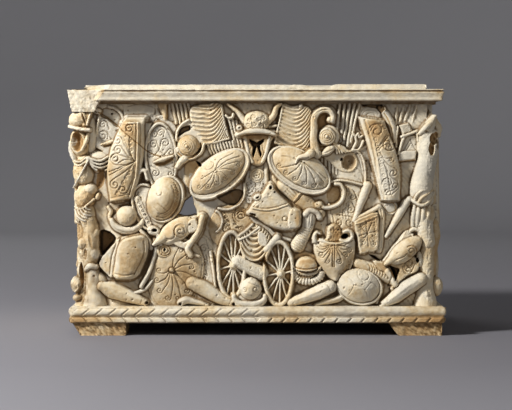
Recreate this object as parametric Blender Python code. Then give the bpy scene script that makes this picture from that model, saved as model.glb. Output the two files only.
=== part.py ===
"""Marble cinerary chest carved with a heap of captured arms; its lid is lost.

Metres, +Z up. The chest stands on the floor at z = 0, centred on X and Y, with its main face
towards -Y. Feet, base moulding, walls, cornice and lid seat are one block of marble, hollowed for
the ashes, and the carving is rooted in its walls.
"""
import math

import bmesh
import bpy
from mathutils import Vector

# Driving dimensions of the block, in metres.
CHEST_LENGTH = 0.600          # along X, over the base moulding
CHEST_DEPTH = 0.450           # along Y, over the base moulding
WALL = 0.032                  # marble between a carved ground and the cavity
FLOOR_THICKNESS = 0.041       # marble under the cavity, down to the top of the feet

FOOT_HEIGHT = 0.020
FOOT_LENGTH = 0.090           # along X
FOOT_WIDTH = 0.080            # along Y
FOOT_SETBACK = 0.002          # of the feet behind the band over them
FOOT_SLANT = 0.016            # by which the right feet lean out towards their soles
FOOT_WEAR = 0.013             # lost from the outer lower edge of the left feet

LEAF_BAND_HEIGHT = 0.010      # lower half of the garland on the base
LEAF_BAND_SETBACK = 0.003
TORUS_HEIGHT = 0.016          # upper, rounded half of the garland
TORUS_BULGE = 0.004
FIELD_HEIGHT = 0.320          # carved field between base and cornice

CORNICE_SETBACK = 0.005       # of the cornice's top edge behind the base moulding
FILLET_UNDER = 0.005          # plain strip under the ovolo
OVOLO_HEIGHT = 0.014
OVOLO_REACH = 0.010
GROOVE = 0.003                # width and depth of the groove over the ovolo
FILLET_OVER = 0.0015          # plain strip over the groove
LID_SEAT_HEIGHT = 0.0085
LID_SEAT_SETBACK = 0.024      # of the raised lid seat behind the cornice's edge

FRONT_RELIEF = 0.038          # depth of the carving on each face
SIDE_RELIEF = 0.020
BACK_RELIEF = 0.015
LEDGE = 0.0015                # base moulding that shows in front of the deepest carving

# The carving keeps its proportions: it is laid out on a carver's grid over the field. Columns are
# shares of the chest's length or depth, rows of the field's height and depths of the relief.
FRONT_COLUMNS = 381
END_COLUMNS = 286
GRID_ROWS = 203
GRID_DEPTHS = 24
ROOT_DEPTH = 3.0              # how far a form is rooted below the ground, in grid depths
ROOT_STEP = 0.023             # added for each form, so that no two ends share a plane

# The break through the front wall, and the one behind it through the back wall.
HOLE_MIDDLE = (-73, 102)      # grid column and row
HOLE_REACH = (10.5, 12.5)
HOLE_SIDES = 5

MARBLE_COLOUR = (0.60, 0.51, 0.38, 1.0)
MARBLE_ROUGHNESS = 0.62

BASE_TOP = FOOT_HEIGHT + LEAF_BAND_HEIGHT + TORUS_HEIGHT
FIELD_TOP = BASE_TOP + FIELD_HEIGHT
CORNICE_TOP = FIELD_TOP + FILLET_UNDER + OVOLO_HEIGHT + GROOVE + FILLET_OVER
CHEST_TOP = CORNICE_TOP + LID_SEAT_HEIGHT
CAVITY_FLOOR = FOOT_HEIGHT + FLOOR_THICKNESS
FRONT_GROUND = FRONT_RELIEF + LEDGE      # setbacks of the carved grounds
SIDE_GROUND = SIDE_RELIEF + LEDGE
BACK_GROUND = BACK_RELIEF + LEDGE


# Meshes and materials

def marble():
    """Fine white marble, warmed by age to cream and ochre."""
    material = bpy.data.materials.new("aged_marble")
    material.use_nodes = True
    shader = material.node_tree.nodes["Principled BSDF"]
    shader.inputs["Base Color"].default_value = MARBLE_COLOUR
    shader.inputs["Roughness"].default_value = MARBLE_ROUGHNESS
    shader.inputs["Metallic"].default_value = 0.0
    return material


def solid(name, mesh, guide=False):
    """Turn a bmesh into an object; a guide only cuts or joins, and isn't part of the chest."""
    bmesh.ops.recalc_face_normals(mesh, faces=mesh.faces)
    data = bpy.data.meshes.new(name)
    mesh.to_mesh(data)
    mesh.free()
    thing = bpy.data.objects.new(name, data)
    bpy.context.collection.objects.link(thing)
    if guide:
        thing.hide_render = True
        thing.display_type = "WIRE"
    return thing


def boolean(thing, guide, operation, overlapping=False):
    step = thing.modifiers.new(guide.name, "BOOLEAN")
    step.operation = operation
    step.solver = "EXACT"
    step.object = guide
    step.use_self = overlapping


def add_prism(mesh, lower, upper):
    """Add a closed solid between two outlines with as many points each."""
    low = [mesh.verts.new(point) for point in lower]
    high = [mesh.verts.new(point) for point in upper]
    for i in range(len(low)):
        after = (i + 1) % len(low)
        mesh.faces.new((low[i], low[after], high[after], high[i]))
    mesh.faces.new(low[::-1])
    mesh.faces.new(high)


def rectangle(left, right, front, back, z):
    return [(left, front, z), (right, front, z), (right, back, z), (left, back, z)]


# The block

def moulded_rings():
    """Outer rings of the block from the base up, as (z, setback at the sides, front and back)."""
    rings = [(FOOT_HEIGHT, *[LEAF_BAND_SETBACK] * 3)]
    torus_bottom = FOOT_HEIGHT + LEAF_BAND_HEIGHT
    rings.append((torus_bottom, *[LEAF_BAND_SETBACK] * 3))
    for turn in (0.15, 0.5, 0.85):
        bulge = TORUS_BULGE * (1 - math.sin(math.pi * turn))
        rings.append((torus_bottom + TORUS_HEIGHT * turn, *[bulge] * 3))
    rings.append((BASE_TOP, *[TORUS_BULGE] * 3))
    grounds = (SIDE_GROUND, FRONT_GROUND, BACK_GROUND)
    rings.append((BASE_TOP, *grounds))
    rings.append((FIELD_TOP, *grounds))
    ovolo_bottom = FIELD_TOP + FILLET_UNDER
    rings.append((FIELD_TOP, *[CORNICE_SETBACK + OVOLO_REACH] * 3))
    for turn in (0, 0.35, 0.7, 1):
        reach = OVOLO_REACH * math.sin(math.pi / 2 * turn)
        rise = OVOLO_HEIGHT * (1 - math.cos(math.pi / 2 * turn))
        rings.append((ovolo_bottom + rise, *[CORNICE_SETBACK + OVOLO_REACH - reach] * 3))
    groove_bottom = ovolo_bottom + OVOLO_HEIGHT
    rings.append((groove_bottom + GROOVE / 2, *[CORNICE_SETBACK + GROOVE] * 3))
    rings.append((groove_bottom + GROOVE, *[CORNICE_SETBACK] * 3))
    rings.append((CORNICE_TOP, *[CORNICE_SETBACK] * 3))
    seat = CORNICE_SETBACK + LID_SEAT_SETBACK
    rings.append((CORNICE_TOP, *[seat] * 3))
    rings.append((CHEST_TOP, *[seat] * 3))
    return rings


def hollow_rings():
    """Inner rings, from the rim down to the floor of the cavity."""
    walls = (SIDE_GROUND + WALL, FRONT_GROUND + WALL, BACK_GROUND + WALL)
    return [(CHEST_TOP, *walls), (CAVITY_FLOOR, *walls)]


def chest_block():
    mesh = bmesh.new()
    rings = []
    for z, side, front, back in moulded_rings() + hollow_rings():
        right = CHEST_LENGTH / 2 - side
        rings.append(rectangle(-right, right, front - CHEST_DEPTH / 2, CHEST_DEPTH / 2 - back, z))
    loops = [[mesh.verts.new(point) for point in ring] for ring in rings]
    for lower, upper in zip(loops, loops[1:]):
        for i in range(4):
            after = (i + 1) % 4
            mesh.faces.new((lower[i], lower[after], upper[after], upper[i]))
    mesh.faces.new(loops[0][::-1])
    mesh.faces.new(loops[-1])
    return solid("cinerary_chest", mesh)


def feet():
    """Four blocks left under the corners: the right ones slant inside, the left ones are worn."""
    mesh = bmesh.new()
    setback = LEAF_BAND_SETBACK + FOOT_SETBACK
    joint = FOOT_HEIGHT + LEAF_BAND_HEIGHT / 2
    outer, inner = CHEST_LENGTH / 2 - setback, CHEST_LENGTH / 2 - setback - FOOT_LENGTH
    far, near = CHEST_DEPTH / 2 - setback, CHEST_DEPTH / 2 - setback - FOOT_WIDTH
    for front, back in ((-far, -near), (near, far)):
        add_prism(mesh, rectangle(inner + FOOT_SLANT, outer, front, back, 0.0),
                  rectangle(inner, outer, front, back, joint))
        add_prism(mesh, rectangle(FOOT_WEAR - outer, -inner, front, back, 0.0),
                  rectangle(-outer, -inner, front, back, joint))
    return solid("feet", mesh, guide=True)


# Carving

class Field:
    """A carved face under a carver's grid: u runs along it, v up it and w out of it."""

    def __init__(self, mesh, middle, along, out, relief):
        self.mesh = mesh
        self.middle = Vector(middle)
        column = CHEST_LENGTH / FRONT_COLUMNS if along[0] else CHEST_DEPTH / END_COLUMNS
        self.along = Vector(along) * column
        self.up = Vector((0, 0, FIELD_HEIGHT / GRID_ROWS))
        self.out = Vector(out) * (relief / GRID_DEPTHS)
        self.forms = 0

    def vert(self, u, v, w):
        return self.mesh.verts.new(self.middle + self.along * u + self.up * v + self.out * w)

    def next_root(self):
        self.forms += 1
        return -ROOT_DEPTH - ROOT_STEP * self.forms

    def loft(self, rows, closed_rows, closed_ends):
        """Skin rows of (u, v, w) points; rows may close on themselves, and the ends may be capped."""
        verts = [[self.vert(*point) for point in row] for row in rows]
        pairs = list(zip(verts, verts[1:]))
        if not closed_ends:
            pairs.append((verts[-1], verts[0]))
        for lower, upper in pairs:
            for i in range(len(lower) if closed_rows else len(lower) - 1):
                after = (i + 1) % len(lower)
                self.mesh.faces.new((lower[i], lower[after], upper[after], upper[i]))
        if closed_ends:
            self.mesh.faces.new(verts[0][::-1])
            self.mesh.faces.new(verts[-1])
        return verts


def slab(field, shape, steps=(3, 3)):
    """Add a form whose face follows shape(s, t), s and t from -1 to 1, with sides down to its root."""
    across, up = steps
    points = [[shape(2 * i / across - 1, 2 * j / up - 1) for i in range(across + 1)]
              for j in range(up + 1)]
    verts = [[field.vert(*point) for point in row] for row in points]
    for j in range(up):
        for i in range(across):
            field.mesh.faces.new((verts[j][i], verts[j][i + 1], verts[j + 1][i + 1], verts[j + 1][i]))
    border = [(0, i) for i in range(across)] + [(j, across) for j in range(up)]
    border += [(up, i) for i in range(across, 0, -1)] + [(j, 0) for j in range(up, 0, -1)]
    root = field.next_root()
    sunk = [field.vert(points[j][i][0], points[j][i][1], root) for j, i in border]
    for k in range(len(border)):
        after = (k + 1) % len(border)
        rim = verts[border[k][0]][border[k][1]]
        next_rim = verts[border[after][0]][border[after][1]]
        field.mesh.faces.new((next_rim, rim, sunk[k], sunk[after]))
    field.mesh.faces.new(sunk[::-1])


def oval(field, at, size, w, dome=0, turn=0, steps=(3, 3)):
    """An oval form: w is its highest point and dome how far its edge lies under that."""
    cos, sin = math.cos(math.radians(turn)), math.sin(math.radians(turn))

    def shape(s, t):
        a = size[0] * s * math.sqrt(1 - t * t / 2)
        b = size[1] * t * math.sqrt(1 - s * s / 2)
        edge = min(1, (a / size[0]) ** 2 + (b / size[1]) ** 2)
        return at[0] + a * cos - b * sin, at[1] + a * sin + b * cos, w - dome * edge

    slab(field, shape, steps)


def plate(field, corners, w, dome=0, bow=(0, 0), sag=(0, 0), steps=(2, 3)):
    """A four-cornered form, from its top left corner clockwise.

    bow shifts the middle of its left and right edge along u, sag that of its top and bottom edge
    along v, and dome arches it across.
    """
    (tl, tr, br, bl) = corners

    def shape(s, t):
        x, y = (s + 1) / 2, (t + 1) / 2
        u = (bl[0] * (1 - x) + br[0] * x) * (1 - y) + (tl[0] * (1 - x) + tr[0] * x) * y
        v = (bl[1] * (1 - x) + br[1] * x) * (1 - y) + (tl[1] * (1 - x) + tr[1] * x) * y
        u += (bow[0] * (1 - x) + bow[1] * x) * (1 - t * t)
        v += (sag[1] * (1 - y) + sag[0] * y) * (1 - s * s)
        return u, v, w - dome * s * s

    slab(field, shape, steps)


def bar(field, path, radii, w, sides=3, closed=False):
    """A rounded bar on a path of (u, v) points; w is its crest, one height or one for each point."""
    count = len(path)
    radii = [radii] * count if isinstance(radii, (int, float)) else radii
    crests = [w] * count if isinstance(w, (int, float)) else w
    root = field.next_root()
    rows = []
    for i, (u, v) in enumerate(path):
        before = path[i - 1] if closed or i else path[i]
        after = path[(i + 1) % count] if closed or i < count - 1 else path[i]
        run = Vector((after[0] - before[0], after[1] - before[1])).normalized()
        row = []
        for k in range(sides + 1):
            turn = math.pi * k / sides
            reach = radii[i] * math.cos(turn)
            rise = crests[i] - radii[i] * (1 - math.sin(turn))
            row.append((u + run.y * reach, v - run.x * reach, rise))
        row.append((u - run.y * radii[i], v + run.x * radii[i], root))
        row.append((u + run.y * radii[i], v - run.x * radii[i], root))
        rows.append(row)
    field.loft(rows, closed_rows=True, closed_ends=not closed)


def arc(at, size, first, last, steps, turn=0):
    """Points of an elliptical arc between two angles in degrees, the ellipse turned as a whole."""
    cos, sin = math.cos(math.radians(turn)), math.sin(math.radians(turn))
    points = []
    for k in range(steps + 1):
        angle = math.radians(first + (last - first) * k / steps)
        a, b = size[0] * math.cos(angle), size[1] * math.sin(angle)
        points.append((at[0] + a * cos - b * sin, at[1] + a * sin + b * cos))
    return points


# Arms and armour, each shape used wherever the heap shows one

def oval_shield(field, at, size, w, dome=3, turn=0, steps=(3, 4)):
    oval(field, at, size, w, dome, turn, steps)


def long_shield(field, corners, w, bow):
    """A half-cylinder shield, seen a little from its side."""
    plate(field, corners, w, dome=5, bow=bow, steps=(3, 4))


def helmet(field, at, size, w, dome=8, turn=0):
    """A bowl over a brim, as a foot soldier's helmet."""
    oval(field, at, size, w, dome, turn)
    brim = arc((at[0], at[1] - size[1] * 0.4), (size[0] * 1.55, size[1] * 0.85), 180, 360, 5)
    bar(field, brim, size[1] * 0.27, w - dome * 0.5)


def beaked_helmet(field, at, size, w, beak, turn):
    """A helmet whose crown runs forward into a curled beak."""
    oval(field, at, size, w, 7, turn, steps=(4, 3))
    reach = (beak[0] - at[0]) * 0.55 + at[0], (beak[1] - at[1]) * 0.55 + at[1]
    bar(field, [at, reach, beak], [size[1] * 0.7, size[1] * 0.55, size[1] * 0.2], [w, w - 1, w - 4])


def greave(field, path, radii, w):
    """Shin armour: a tapering half tube, bent at the calf."""
    bar(field, path, radii, w, sides=4)


def spears(field, top, foot, pitch, count, radius, w):
    """A sheaf of shafts side by side, from the top down to the foot of the first one."""
    for k in range(count):
        shift = pitch * k
        bar(field, [(top[0] + shift, top[1]), (foot[0] + shift, foot[1])], radius, w, sides=2)


def flag(field, corners, w, folds=2):
    """A hanging cloth with folds that fall in bows from its upper corner."""
    plate(field, corners, w, dome=1, sag=(-2, -3), steps=(3, 3))
    (tl, tr, br, bl) = corners
    for k in range(folds):
        share = (k + 1) / (folds + 1)
        start = tl[0] + (tr[0] - tl[0]) * (1 - share * 0.3), tl[1] + (tr[1] - tl[1]) * 0.9 - 4
        end = bl[0] + (br[0] - bl[0]) * share, bl[1] + (br[1] - bl[1]) * share + 6
        middle = (start[0] + end[0]) / 2 - 3, (start[1] + end[1]) / 2
        bar(field, [start, middle, end], 2, w + 1.5, sides=2)


def wheel(field, at, size, hub, w):
    """A chariot wheel seen aslant: rim, four of its spokes and the hub."""
    bar(field, arc(at, size, 0, 324, 9), 2.0, w, sides=2, closed=True)
    for k in range(4):
        angle = math.radians(30 + 90 * k)
        end = at[0] + size[0] * math.cos(angle), at[1] + size[1] * math.sin(angle)
        bar(field, [hub, end], 1.3, w - 2, sides=2)
    oval(field, hub, (4, 4), w + 1, 3, steps=(2, 2))


# The front: the heap, from the cornice down to the base

def front_left_top(field):
    oval(field, (-153, 176), (12, 20), 5, 1, -10)
    bar(field, [(-147, 194), (-138, 181)], 4, 8)
    oval(field, (-120, 197), (16, 6), 4, 1)
    bar(field, [(-95, 201), (-90, 186)], [3.5, 1.5], 7)
    spears(field, (-88, 202), (-81, 180), 4.2, 5, 1.4, 5)
    flag(field, [(-66, 200), (-36, 203), (-27, 169), (-53, 162)], 10)
    # A bowl helmet tipped on its side, with a broad brim round it.
    oval(field, (-70, 161), (10, 10), 15, 6)
    bar(field, [(-74, 148), (-57, 150), (-51, 161)], 2.5, 12)
    bar(field, [(-81, 170), (-77, 180), (-66, 180)], 2, 9)
    bar(field, [(-79, 140), (-72, 147)], 3.5, 10)


def front_middle_top(field):
    """The horned helmet over its opening, between two flags."""
    oval(field, (0, 186), (13, 10), 16, 7, steps=(4, 3))
    bar(field, [(-18, 173), (0, 177), (18, 173)], 2.4, 17)
    oval(field, (-9, 159), (4.5, 11), 14, 3)
    oval(field, (11, 158), (4.5, 12), 14, 3)
    bar(field, [(0, 176), (0, 148)], 1.5, 11)
    for side in (-1, 1):
        bar(field, [(side * 11, 188), (side * 17, 194), (side * 21, 203)], [3, 2.4, 1.2], 14)
    flag(field, [(26, 202), (56, 195), (52, 158), (19, 163)], 9)


def front_right_top(field):
    """The swan-necked crest, spears and the crossed weapons beside the corner."""
    neck = [(46, 149), (55, 157), (56, 172), (56, 187), (62, 197), (71, 200), (78, 194), (77, 186)]
    bar(field, neck, [4, 4.5, 4.5, 4, 3.6, 3.4, 3, 1.6], 15)
    oval(field, (70, 170), (9, 9), 16, 4)
    oval(field, (70, 155), (10, 5), 13, 3)
    oval(field, (87, 159), (9, 5), 10, 3, -20)
    spears(field, (83, 203), (78, 162), 4.2, 5, 1.6, 5)
    oval(field, (108, 196), (9, 7), 5, 1)
    bar(field, [(125, 198), (134, 185), (137, 169)], [3.5, 5, 3.5], 9)
    spears(field, (140, 189), (140, 147), 14, 1, 1.4, 7)
    spears(field, (149, 202), (146, 180), 7, 2, 1.6, 5)
    plate(field, [(143, 181), (152, 184), (158, 176), (147, 170)], 8)
    bar(field, [(141, 147), (147, 170), (160, 176)], 1.4, 9)
    oval(field, (100, 165), (5, 8), 6, 2)


def front_shields(field):
    """The large shields across the middle of the heap."""
    oval(field, (93, 120), (16, 36), 7, 2, steps=(3, 4))
    spears(field, (66, 150), (65, 127), 3.7, 4, 1.4, 7)
    long_shield(field, [(-136, 186), (-113, 188), (-125, 109), (-149, 105)], 19, (-6, -3))
    long_shield(field, [(103, 189), (127, 186), (143, 110), (125, 107)], 19, (0, 7))
    oval_shield(field, (-96.5, 149), (16.5, 34.5), 10, 1)
    bar(field, [(-101, 142), (-87, 148)], 2.2, 14)
    oval_shield(field, (-111, 97), (14, 25), 12, 2, 20)
    oval_shield(field, (-37.5, 133), (34, 20), 22, 5, 37, steps=(4, 4))
    oval_shield(field, (42.5, 134.5), (35, 21.5), 22, 5, -28, steps=(4, 4))
    oval_shield(field, (-93, 107), (19, 24.5), 22, 9, 16)
    oval(field, (-116, 134), (4.5, 4.5), 11, 2, steps=(2, 2))
    oval(field, (-1, 133), (7.5, 7.5), 9, 2)
    bar(field, [(-4, 147), (-4, 117)], 6, 7)


def front_middle(field):
    """Half-moon shields, the horse's frontlet, the quiver and small arms under the big shields."""
    plate(field, [(-62, 111), (-39, 104), (-35, 85), (-57, 85)], 8)
    oval(field, (-25, 79), (22, 22), 9, 2)
    bar(field, arc((-22, 110), (14, 14), 200, 340, 4), 1.8, 11, sides=2)
    bar(field, arc((-47, 85), (12, 12), -60, 60, 4), 1.8, 11, sides=2)
    bar(field, [(29, 121), (45, 107), (61, 93)], [8, 7.5, 6.5], 13)
    plate(field, [(5, 118), (30, 108), (46, 78), (-8, 92)], 18, dome=5, bow=(-2, 9), sag=(4, -10),
          steps=(4, 4))
    oval(field, (88, 92), (16, 33), 10, 2, steps=(3, 4))
    bar(field, arc((74, 111), (13, 13), -75, 15, 4), 1.8, 12, sides=2)
    oval(field, (62, 102), (3, 3.5), 13, 2, steps=(2, 2))
    oval(field, (53, 85), (8, 9), 15, 6)
    bar(field, [(52, 76), (40, 60)], [5, 6], 15)
    plate(field, [(98, 85), (121, 94), (121, 56), (104, 53)], 16, dome=2, bow=(-2, 2))
    bar(field, [(126, 98), (124, 76), (123, 55)], 2.6, 13)
    oval(field, (134, 101), (8.5, 8.5), 7, 2)
    bar(field, [(149, 102), (133, 74)], [4, 1.5], 14)
    bar(field, [(111, 121), (98, 86)], [4.5, 2], 14)


def front_left_bottom(field):
    """The round-crowned helmet, cuirass, bow and beaked helmet over the two tall shields."""
    oval_shield(field, (-54, 35), (16, 36), 8, 2, 8)
    bar(field, [(-47, 52), (-40, 12)], 2, 10, sides=2)
    oval_shield(field, (-81, 30), (27, 38), 13, 4, -20)
    helmet(field, (-131, 92), (10.3, 10.3), 19, 9)
    oval(field, (-131, 79), (16, 9), 12, 3)
    plate(field, [(-145, 67), (-138, 65), (-149, 27), (-160, 43)], 10, dome=1)
    plate(field, [(-139, 67), (-121, 71), (-126, 31), (-149, 31)], 20, dome=6, bow=(-1, 1), sag=(3, -3),
          steps=(3, 3))
    oval(field, (-137, 24), (13, 9), 9, 2)
    bar(field, [(-108, 64), (-107, 45), (-111, 30), (-121, 16)], 2.2, 12)
    bar(field, [(-126, 14), (-115, 17), (-106, 25)], 2.2, 10)
    bar(field, arc((-107, 73), (5, 5), 0, 288, 4), 1.9, 16, sides=2, closed=True)
    beaked_helmet(field, (-82, 72), (18, 12), 22, (-103, 60), 35)
    oval(field, (-94, 53), (7, 6), 16, 3)
    bar(field, [(-55, 89), (-59, 75), (-70, 59), (-68, 51)], 2.5, 19)


def front_middle_bottom(field):
    """The chariot with its cloth, and the helmets on either side of its far wheel."""
    plate(field, [(-14, 75), (11, 79), (17, 57), (-11, 45)], 14, dome=2, sag=(3, -4))
    wheel(field, (-25.5, 41), (14, 34), (-24, 42), 15)
    wheel(field, (20.5, 33), (15.5, 32), (24, 32), 16)
    bar(field, [(-20, 44), (5, 31)], [8, 9], 15, sides=4)
    helmet(field, (-7, 17), (10.5, 9.5), 22, 9)
    helmet(field, (50, 43), (12, 9), 18, 7)
    for lap in range(2):
        layer = arc((50, 33 - 4 * lap), (15 + lap, 11), 190, 350, 5)
        bar(field, layer, 2.8, 15 - lap)


def front_right_bottom(field):
    """The heart-shaped shield, quiver, beaked helmet and round shield."""
    plate(field, [(62, 68), (103, 66), (84, 24), (75, 24)], 18, dome=4, bow=(-1, 1), sag=(-3, -3),
          steps=(4, 3))
    for side in (66, 91):
        oval(field, (side, 71), (5.5, 5.5), 19, 3, steps=(2, 2))
    bar(field, [(78, 82), (80, 65)], [5, 4], 17)
    bar(field, [(154, 74), (133, 45)], 5.5, 13)
    bar(field, arc((158, 67), (7, 7), -30, 150, 4), 2, 12, sides=2)
    beaked_helmet(field, (149, 54), (17, 9.5), 20, (129, 42), 38)
    oval(field, (153, 41), (11, 8), 13, 3, -15)
    bar(field, [(105, 40), (140, 25)], [6, 7], 13)
    bar(field, [(131, 35), (138, 22)], 3, 15)
    oval_shield(field, (104, 17.5), (24, 18), 23, 8, -12)


def front_greaves(field):
    """Four pairs of shin armour laid along the foot of the heap."""
    greave(field, [(-157, 20), (-145, 16), (-129, 10), (-113, 4)], [5, 8, 6, 3.8], 16)
    greave(field, [(-66, 25), (-52, 17), (-37, 8), (-25, 1)], [7, 7.5, 5.5, 3.5], 19)
    greave(field, [(-79, 3), (-70, 4), (-59, 1)], [4, 3.5, 2.5], 15)
    greave(field, [(75, 21), (61, 15), (46, 8), (34, 4)], [7, 7.5, 5.5, 4.5], 19)
    greave(field, [(84, 7), (73, 3), (60, 1)], [3.5, 3, 2], 15)
    greave(field, [(166, 25), (153, 19), (139, 9), (127, 1)], [6, 7.5, 5.5, 3.2], 19)


# The trophies standing at the two front corners

def left_corner(field):
    """A trophy: helmet and mantled cuirass hung on a rough post."""
    oval(field, (-179, 190), (9, 8), 20, 9)
    bar(field, [(-187, 181), (-168, 178)], 2.4, 22)
    bar(field, [(-178, 178), (-173, 152)], [4.5, 5.5], 14)
    for end in ((-185, 142), (-154, 144)):
        bar(field, [(-169, 150), end], [4, 3], 18)
    oval(field, (-174, 133), (11, 13), 20, 6)
    oval(field, (-173, 110), (11.5, 13), 18, 6)
    bar(field, [(-160, 113), (-162, 104)], 2, 18, sides=2)
    plate(field, [(-183, 103), (-165, 106), (-163, 84), (-181, 82)], 18, dome=4)
    bar(field, [(-171, 86), (-169, 62), (-168, 40)], [9, 8, 7], 18, sides=4)
    oval(field, (-167, 38), (6, 4), 16, 3, steps=(2, 2))
    bar(field, [(-170, 36), (-169, 1)], [9, 13], 17, sides=4)


def right_corner(field):
    """A headless captive or victory, one arm raised and broken at the wrist."""
    bar(field, [(162, 172), (173, 182), (181, 191)], [5, 5, 4], 18)
    oval(field, (171, 160), (12, 20), 20, 7)
    oval(field, (168, 129), (12, 21), 21, 7, steps=(3, 4))
    bar(field, arc((168, 109), (10, 8), 150, 330, 4), 3, 19)
    for u in (159, 164, 169, 175):
        bar(field, [(u, 104), (u + 1, 79)], 2.8, 18, sides=2)
    bar(field, [(167, 86), (167, 62), (173, 40), (171, 1)], [8, 7, 6.5, 9], 17, sides=4)
    oval(field, (170, 13), (3.6, 3.6), 21, 2, steps=(2, 2))


# Hidden faces, in keeping with the front and plainer

def side_heap(field):
    """Shields, a helmet and greaves over spears, on one of the ends."""
    spears(field, (-72, 202), (-64, 150), 12, 3, 2.4, 8)
    spears(field, (42, 202), (36, 140), 12, 3, 2.4, 8)
    long_shield(field, [(-104, 168), (-76, 172), (-86, 84), (-116, 80)], 19, (-5, -3))
    long_shield(field, [(84, 176), (110, 170), (118, 84), (92, 80)], 18, (3, 6))
    oval_shield(field, (-42, 116), (26, 46), 17, 5, 24, steps=(3, 3))
    oval_shield(field, (44, 104), (28, 44), 21, 6, -22, steps=(3, 3))
    helmet(field, (2, 172), (17, 15), 20, 9)
    oval_shield(field, (-74, 40), (36, 26), 21, 7, 12, steps=(3, 3))
    beaked_helmet(field, (66, 42), (26, 16), 21, (32, 26), 24)
    greave(field, [(-30, 32), (-8, 20), (18, 7)], [9, 9, 6], 19)
    oval(field, (-118, 17), (7, 10), 22, 6)


def back_heap(field):
    """Two tall shields laid over crossed spears."""
    for side in (-1, 1):
        bar(field, [(side * -120, 192), (side * 120, 8)], 3, 12, sides=2)
        oval_shield(field, (side * 52, 100), (38, 78), 22, 8, side * 14)
        oval(field, (side * 52, 100), (9, 9), 24, 4)
    helmet(field, (0, 182), (15, 11), 18, 8)


def carved_heap():
    """Every carved form, on its own face of the block."""
    mesh = bmesh.new()
    half_length, half_depth = CHEST_LENGTH / 2, CHEST_DEPTH / 2
    side_middle = (FRONT_GROUND - BACK_GROUND) / 2
    front = Field(mesh, (0, FRONT_GROUND - half_depth, BASE_TOP), (1, 0, 0), (0, -1, 0), FRONT_RELIEF)
    right = Field(mesh, (half_length - SIDE_GROUND, side_middle, BASE_TOP), (0, 1, 0), (1, 0, 0),
                  SIDE_RELIEF)
    left = Field(mesh, (SIDE_GROUND - half_length, side_middle, BASE_TOP), (0, -1, 0), (-1, 0, 0),
                 SIDE_RELIEF)
    back = Field(mesh, (0, half_depth - BACK_GROUND, BASE_TOP), (-1, 0, 0), (0, 1, 0), BACK_RELIEF)
    for carve in (front_left_top, front_middle_top, front_right_top, front_shields, front_middle,
                  front_left_bottom, front_middle_bottom, front_right_bottom, front_greaves,
                  left_corner, right_corner):
        carve(front)
    side_heap(right)
    side_heap(left)
    back_heap(back)
    return solid("carved_heap", mesh, guide=True)


# Breaks

def corner_stump():
    """Rough stone left where the front left corner of the cornice and its block broke away."""
    mesh = bmesh.new()
    left = -CHEST_LENGTH / 2
    front = -CHEST_DEPTH / 2
    low, high = FIELD_TOP - 0.010, CORNICE_TOP - 0.0004
    lower = [(left + 0.010, front + 0.009, low), (left + 0.044, front + 0.012, low),
             (left + 0.040, front + 0.060, low), (left + 0.012, front + 0.055, low)]
    upper = [(left + 0.001, front + 0.020, high), (left + 0.052, front + 0.017, high),
             (left + 0.050, front + 0.060, high), (left + 0.004, front + 0.062, high)]
    add_prism(mesh, lower, upper)
    return solid("corner_stump", mesh, guide=True)


def broken_away():
    """Cutters for the lost stone: the cornice's corner, the rim, the wall and the worn corners."""
    mesh = bmesh.new()
    left, front = -CHEST_LENGTH / 2, -CHEST_DEPTH / 2
    clear = 0.05
    # The front left corner of the cornice, off along a slope.
    lower = [(left - clear, front - clear, FIELD_TOP - 0.0003),
             (left + 0.046, front - clear, FIELD_TOP - 0.0003),
             (left + 0.043, front + 0.010, FIELD_TOP - 0.0003),
             (left - clear, front + 0.006, FIELD_TOP - 0.0003)]
    upper = [(left - clear, front - clear, CHEST_TOP + clear),
             (left + 0.060, front - clear, CHEST_TOP + clear),
             (left + 0.054, front + 0.021, CHEST_TOP + clear),
             (left - clear, front + 0.024, CHEST_TOP + clear)]
    add_prism(mesh, lower, upper)
    # A shallow dip knocked out of the front rim.
    dip_front, dip_back = front - clear, FRONT_GROUND + WALL / 2 - CHEST_DEPTH / 2
    dip = [(0.073, CHEST_TOP + clear), (0.078, CHEST_TOP - 0.003), (0.112, CHEST_TOP - 0.004),
           (0.124, CHEST_TOP + clear)]
    add_prism(mesh, [(x, dip_front, z) for x, z in dip], [(x, dip_back, z) for x, z in dip])
    return solid("broken_away", mesh, guide=True)


def wall_breaks():
    """Cutters for the break through the front wall and the one behind it in the back wall."""
    mesh = bmesh.new()
    along, up = CHEST_LENGTH / FRONT_COLUMNS, FIELD_HEIGHT / GRID_ROWS
    middle = Vector((HOLE_MIDDLE[0] * along, 0, BASE_TOP + HOLE_MIDDLE[1] * up))
    spread = {"front": (1.0, -CHEST_DEPTH), "back": (1.5, CHEST_DEPTH)}
    for wall, (widening, far) in spread.items():
        outline = []
        for u, v in arc((0, 0), HOLE_REACH, 20, 380 - 360 / HOLE_SIDES, HOLE_SIDES - 1):
            outline.append(middle + Vector((u * along, 0, v * up)) * widening)
        add_prism(mesh, [point for point in outline], [point + Vector((0, far, 0)) for point in outline])
    return solid("wall_breaks", mesh, guide=True)


def build():
    for thing in list(bpy.data.objects):
        bpy.data.objects.remove(thing, do_unlink=True)
    chest = chest_block()
    chest.data.materials.append(marble())
    boolean(chest, feet(), "UNION")
    boolean(chest, broken_away(), "DIFFERENCE")
    boolean(chest, corner_stump(), "UNION")
    boolean(chest, carved_heap(), "UNION", overlapping=True)
    boolean(chest, wall_breaks(), "DIFFERENCE")


build()
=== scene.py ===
"""Looks of a marble cinerary chest, carved on its front with a heap of captured arms.

The block, its mouldings and its carving are meshes of their own, which stand for the plain solid.
Each carved face is a height map over a carver's grid, painted form by form as a relief is cut.
"""
import math

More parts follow.
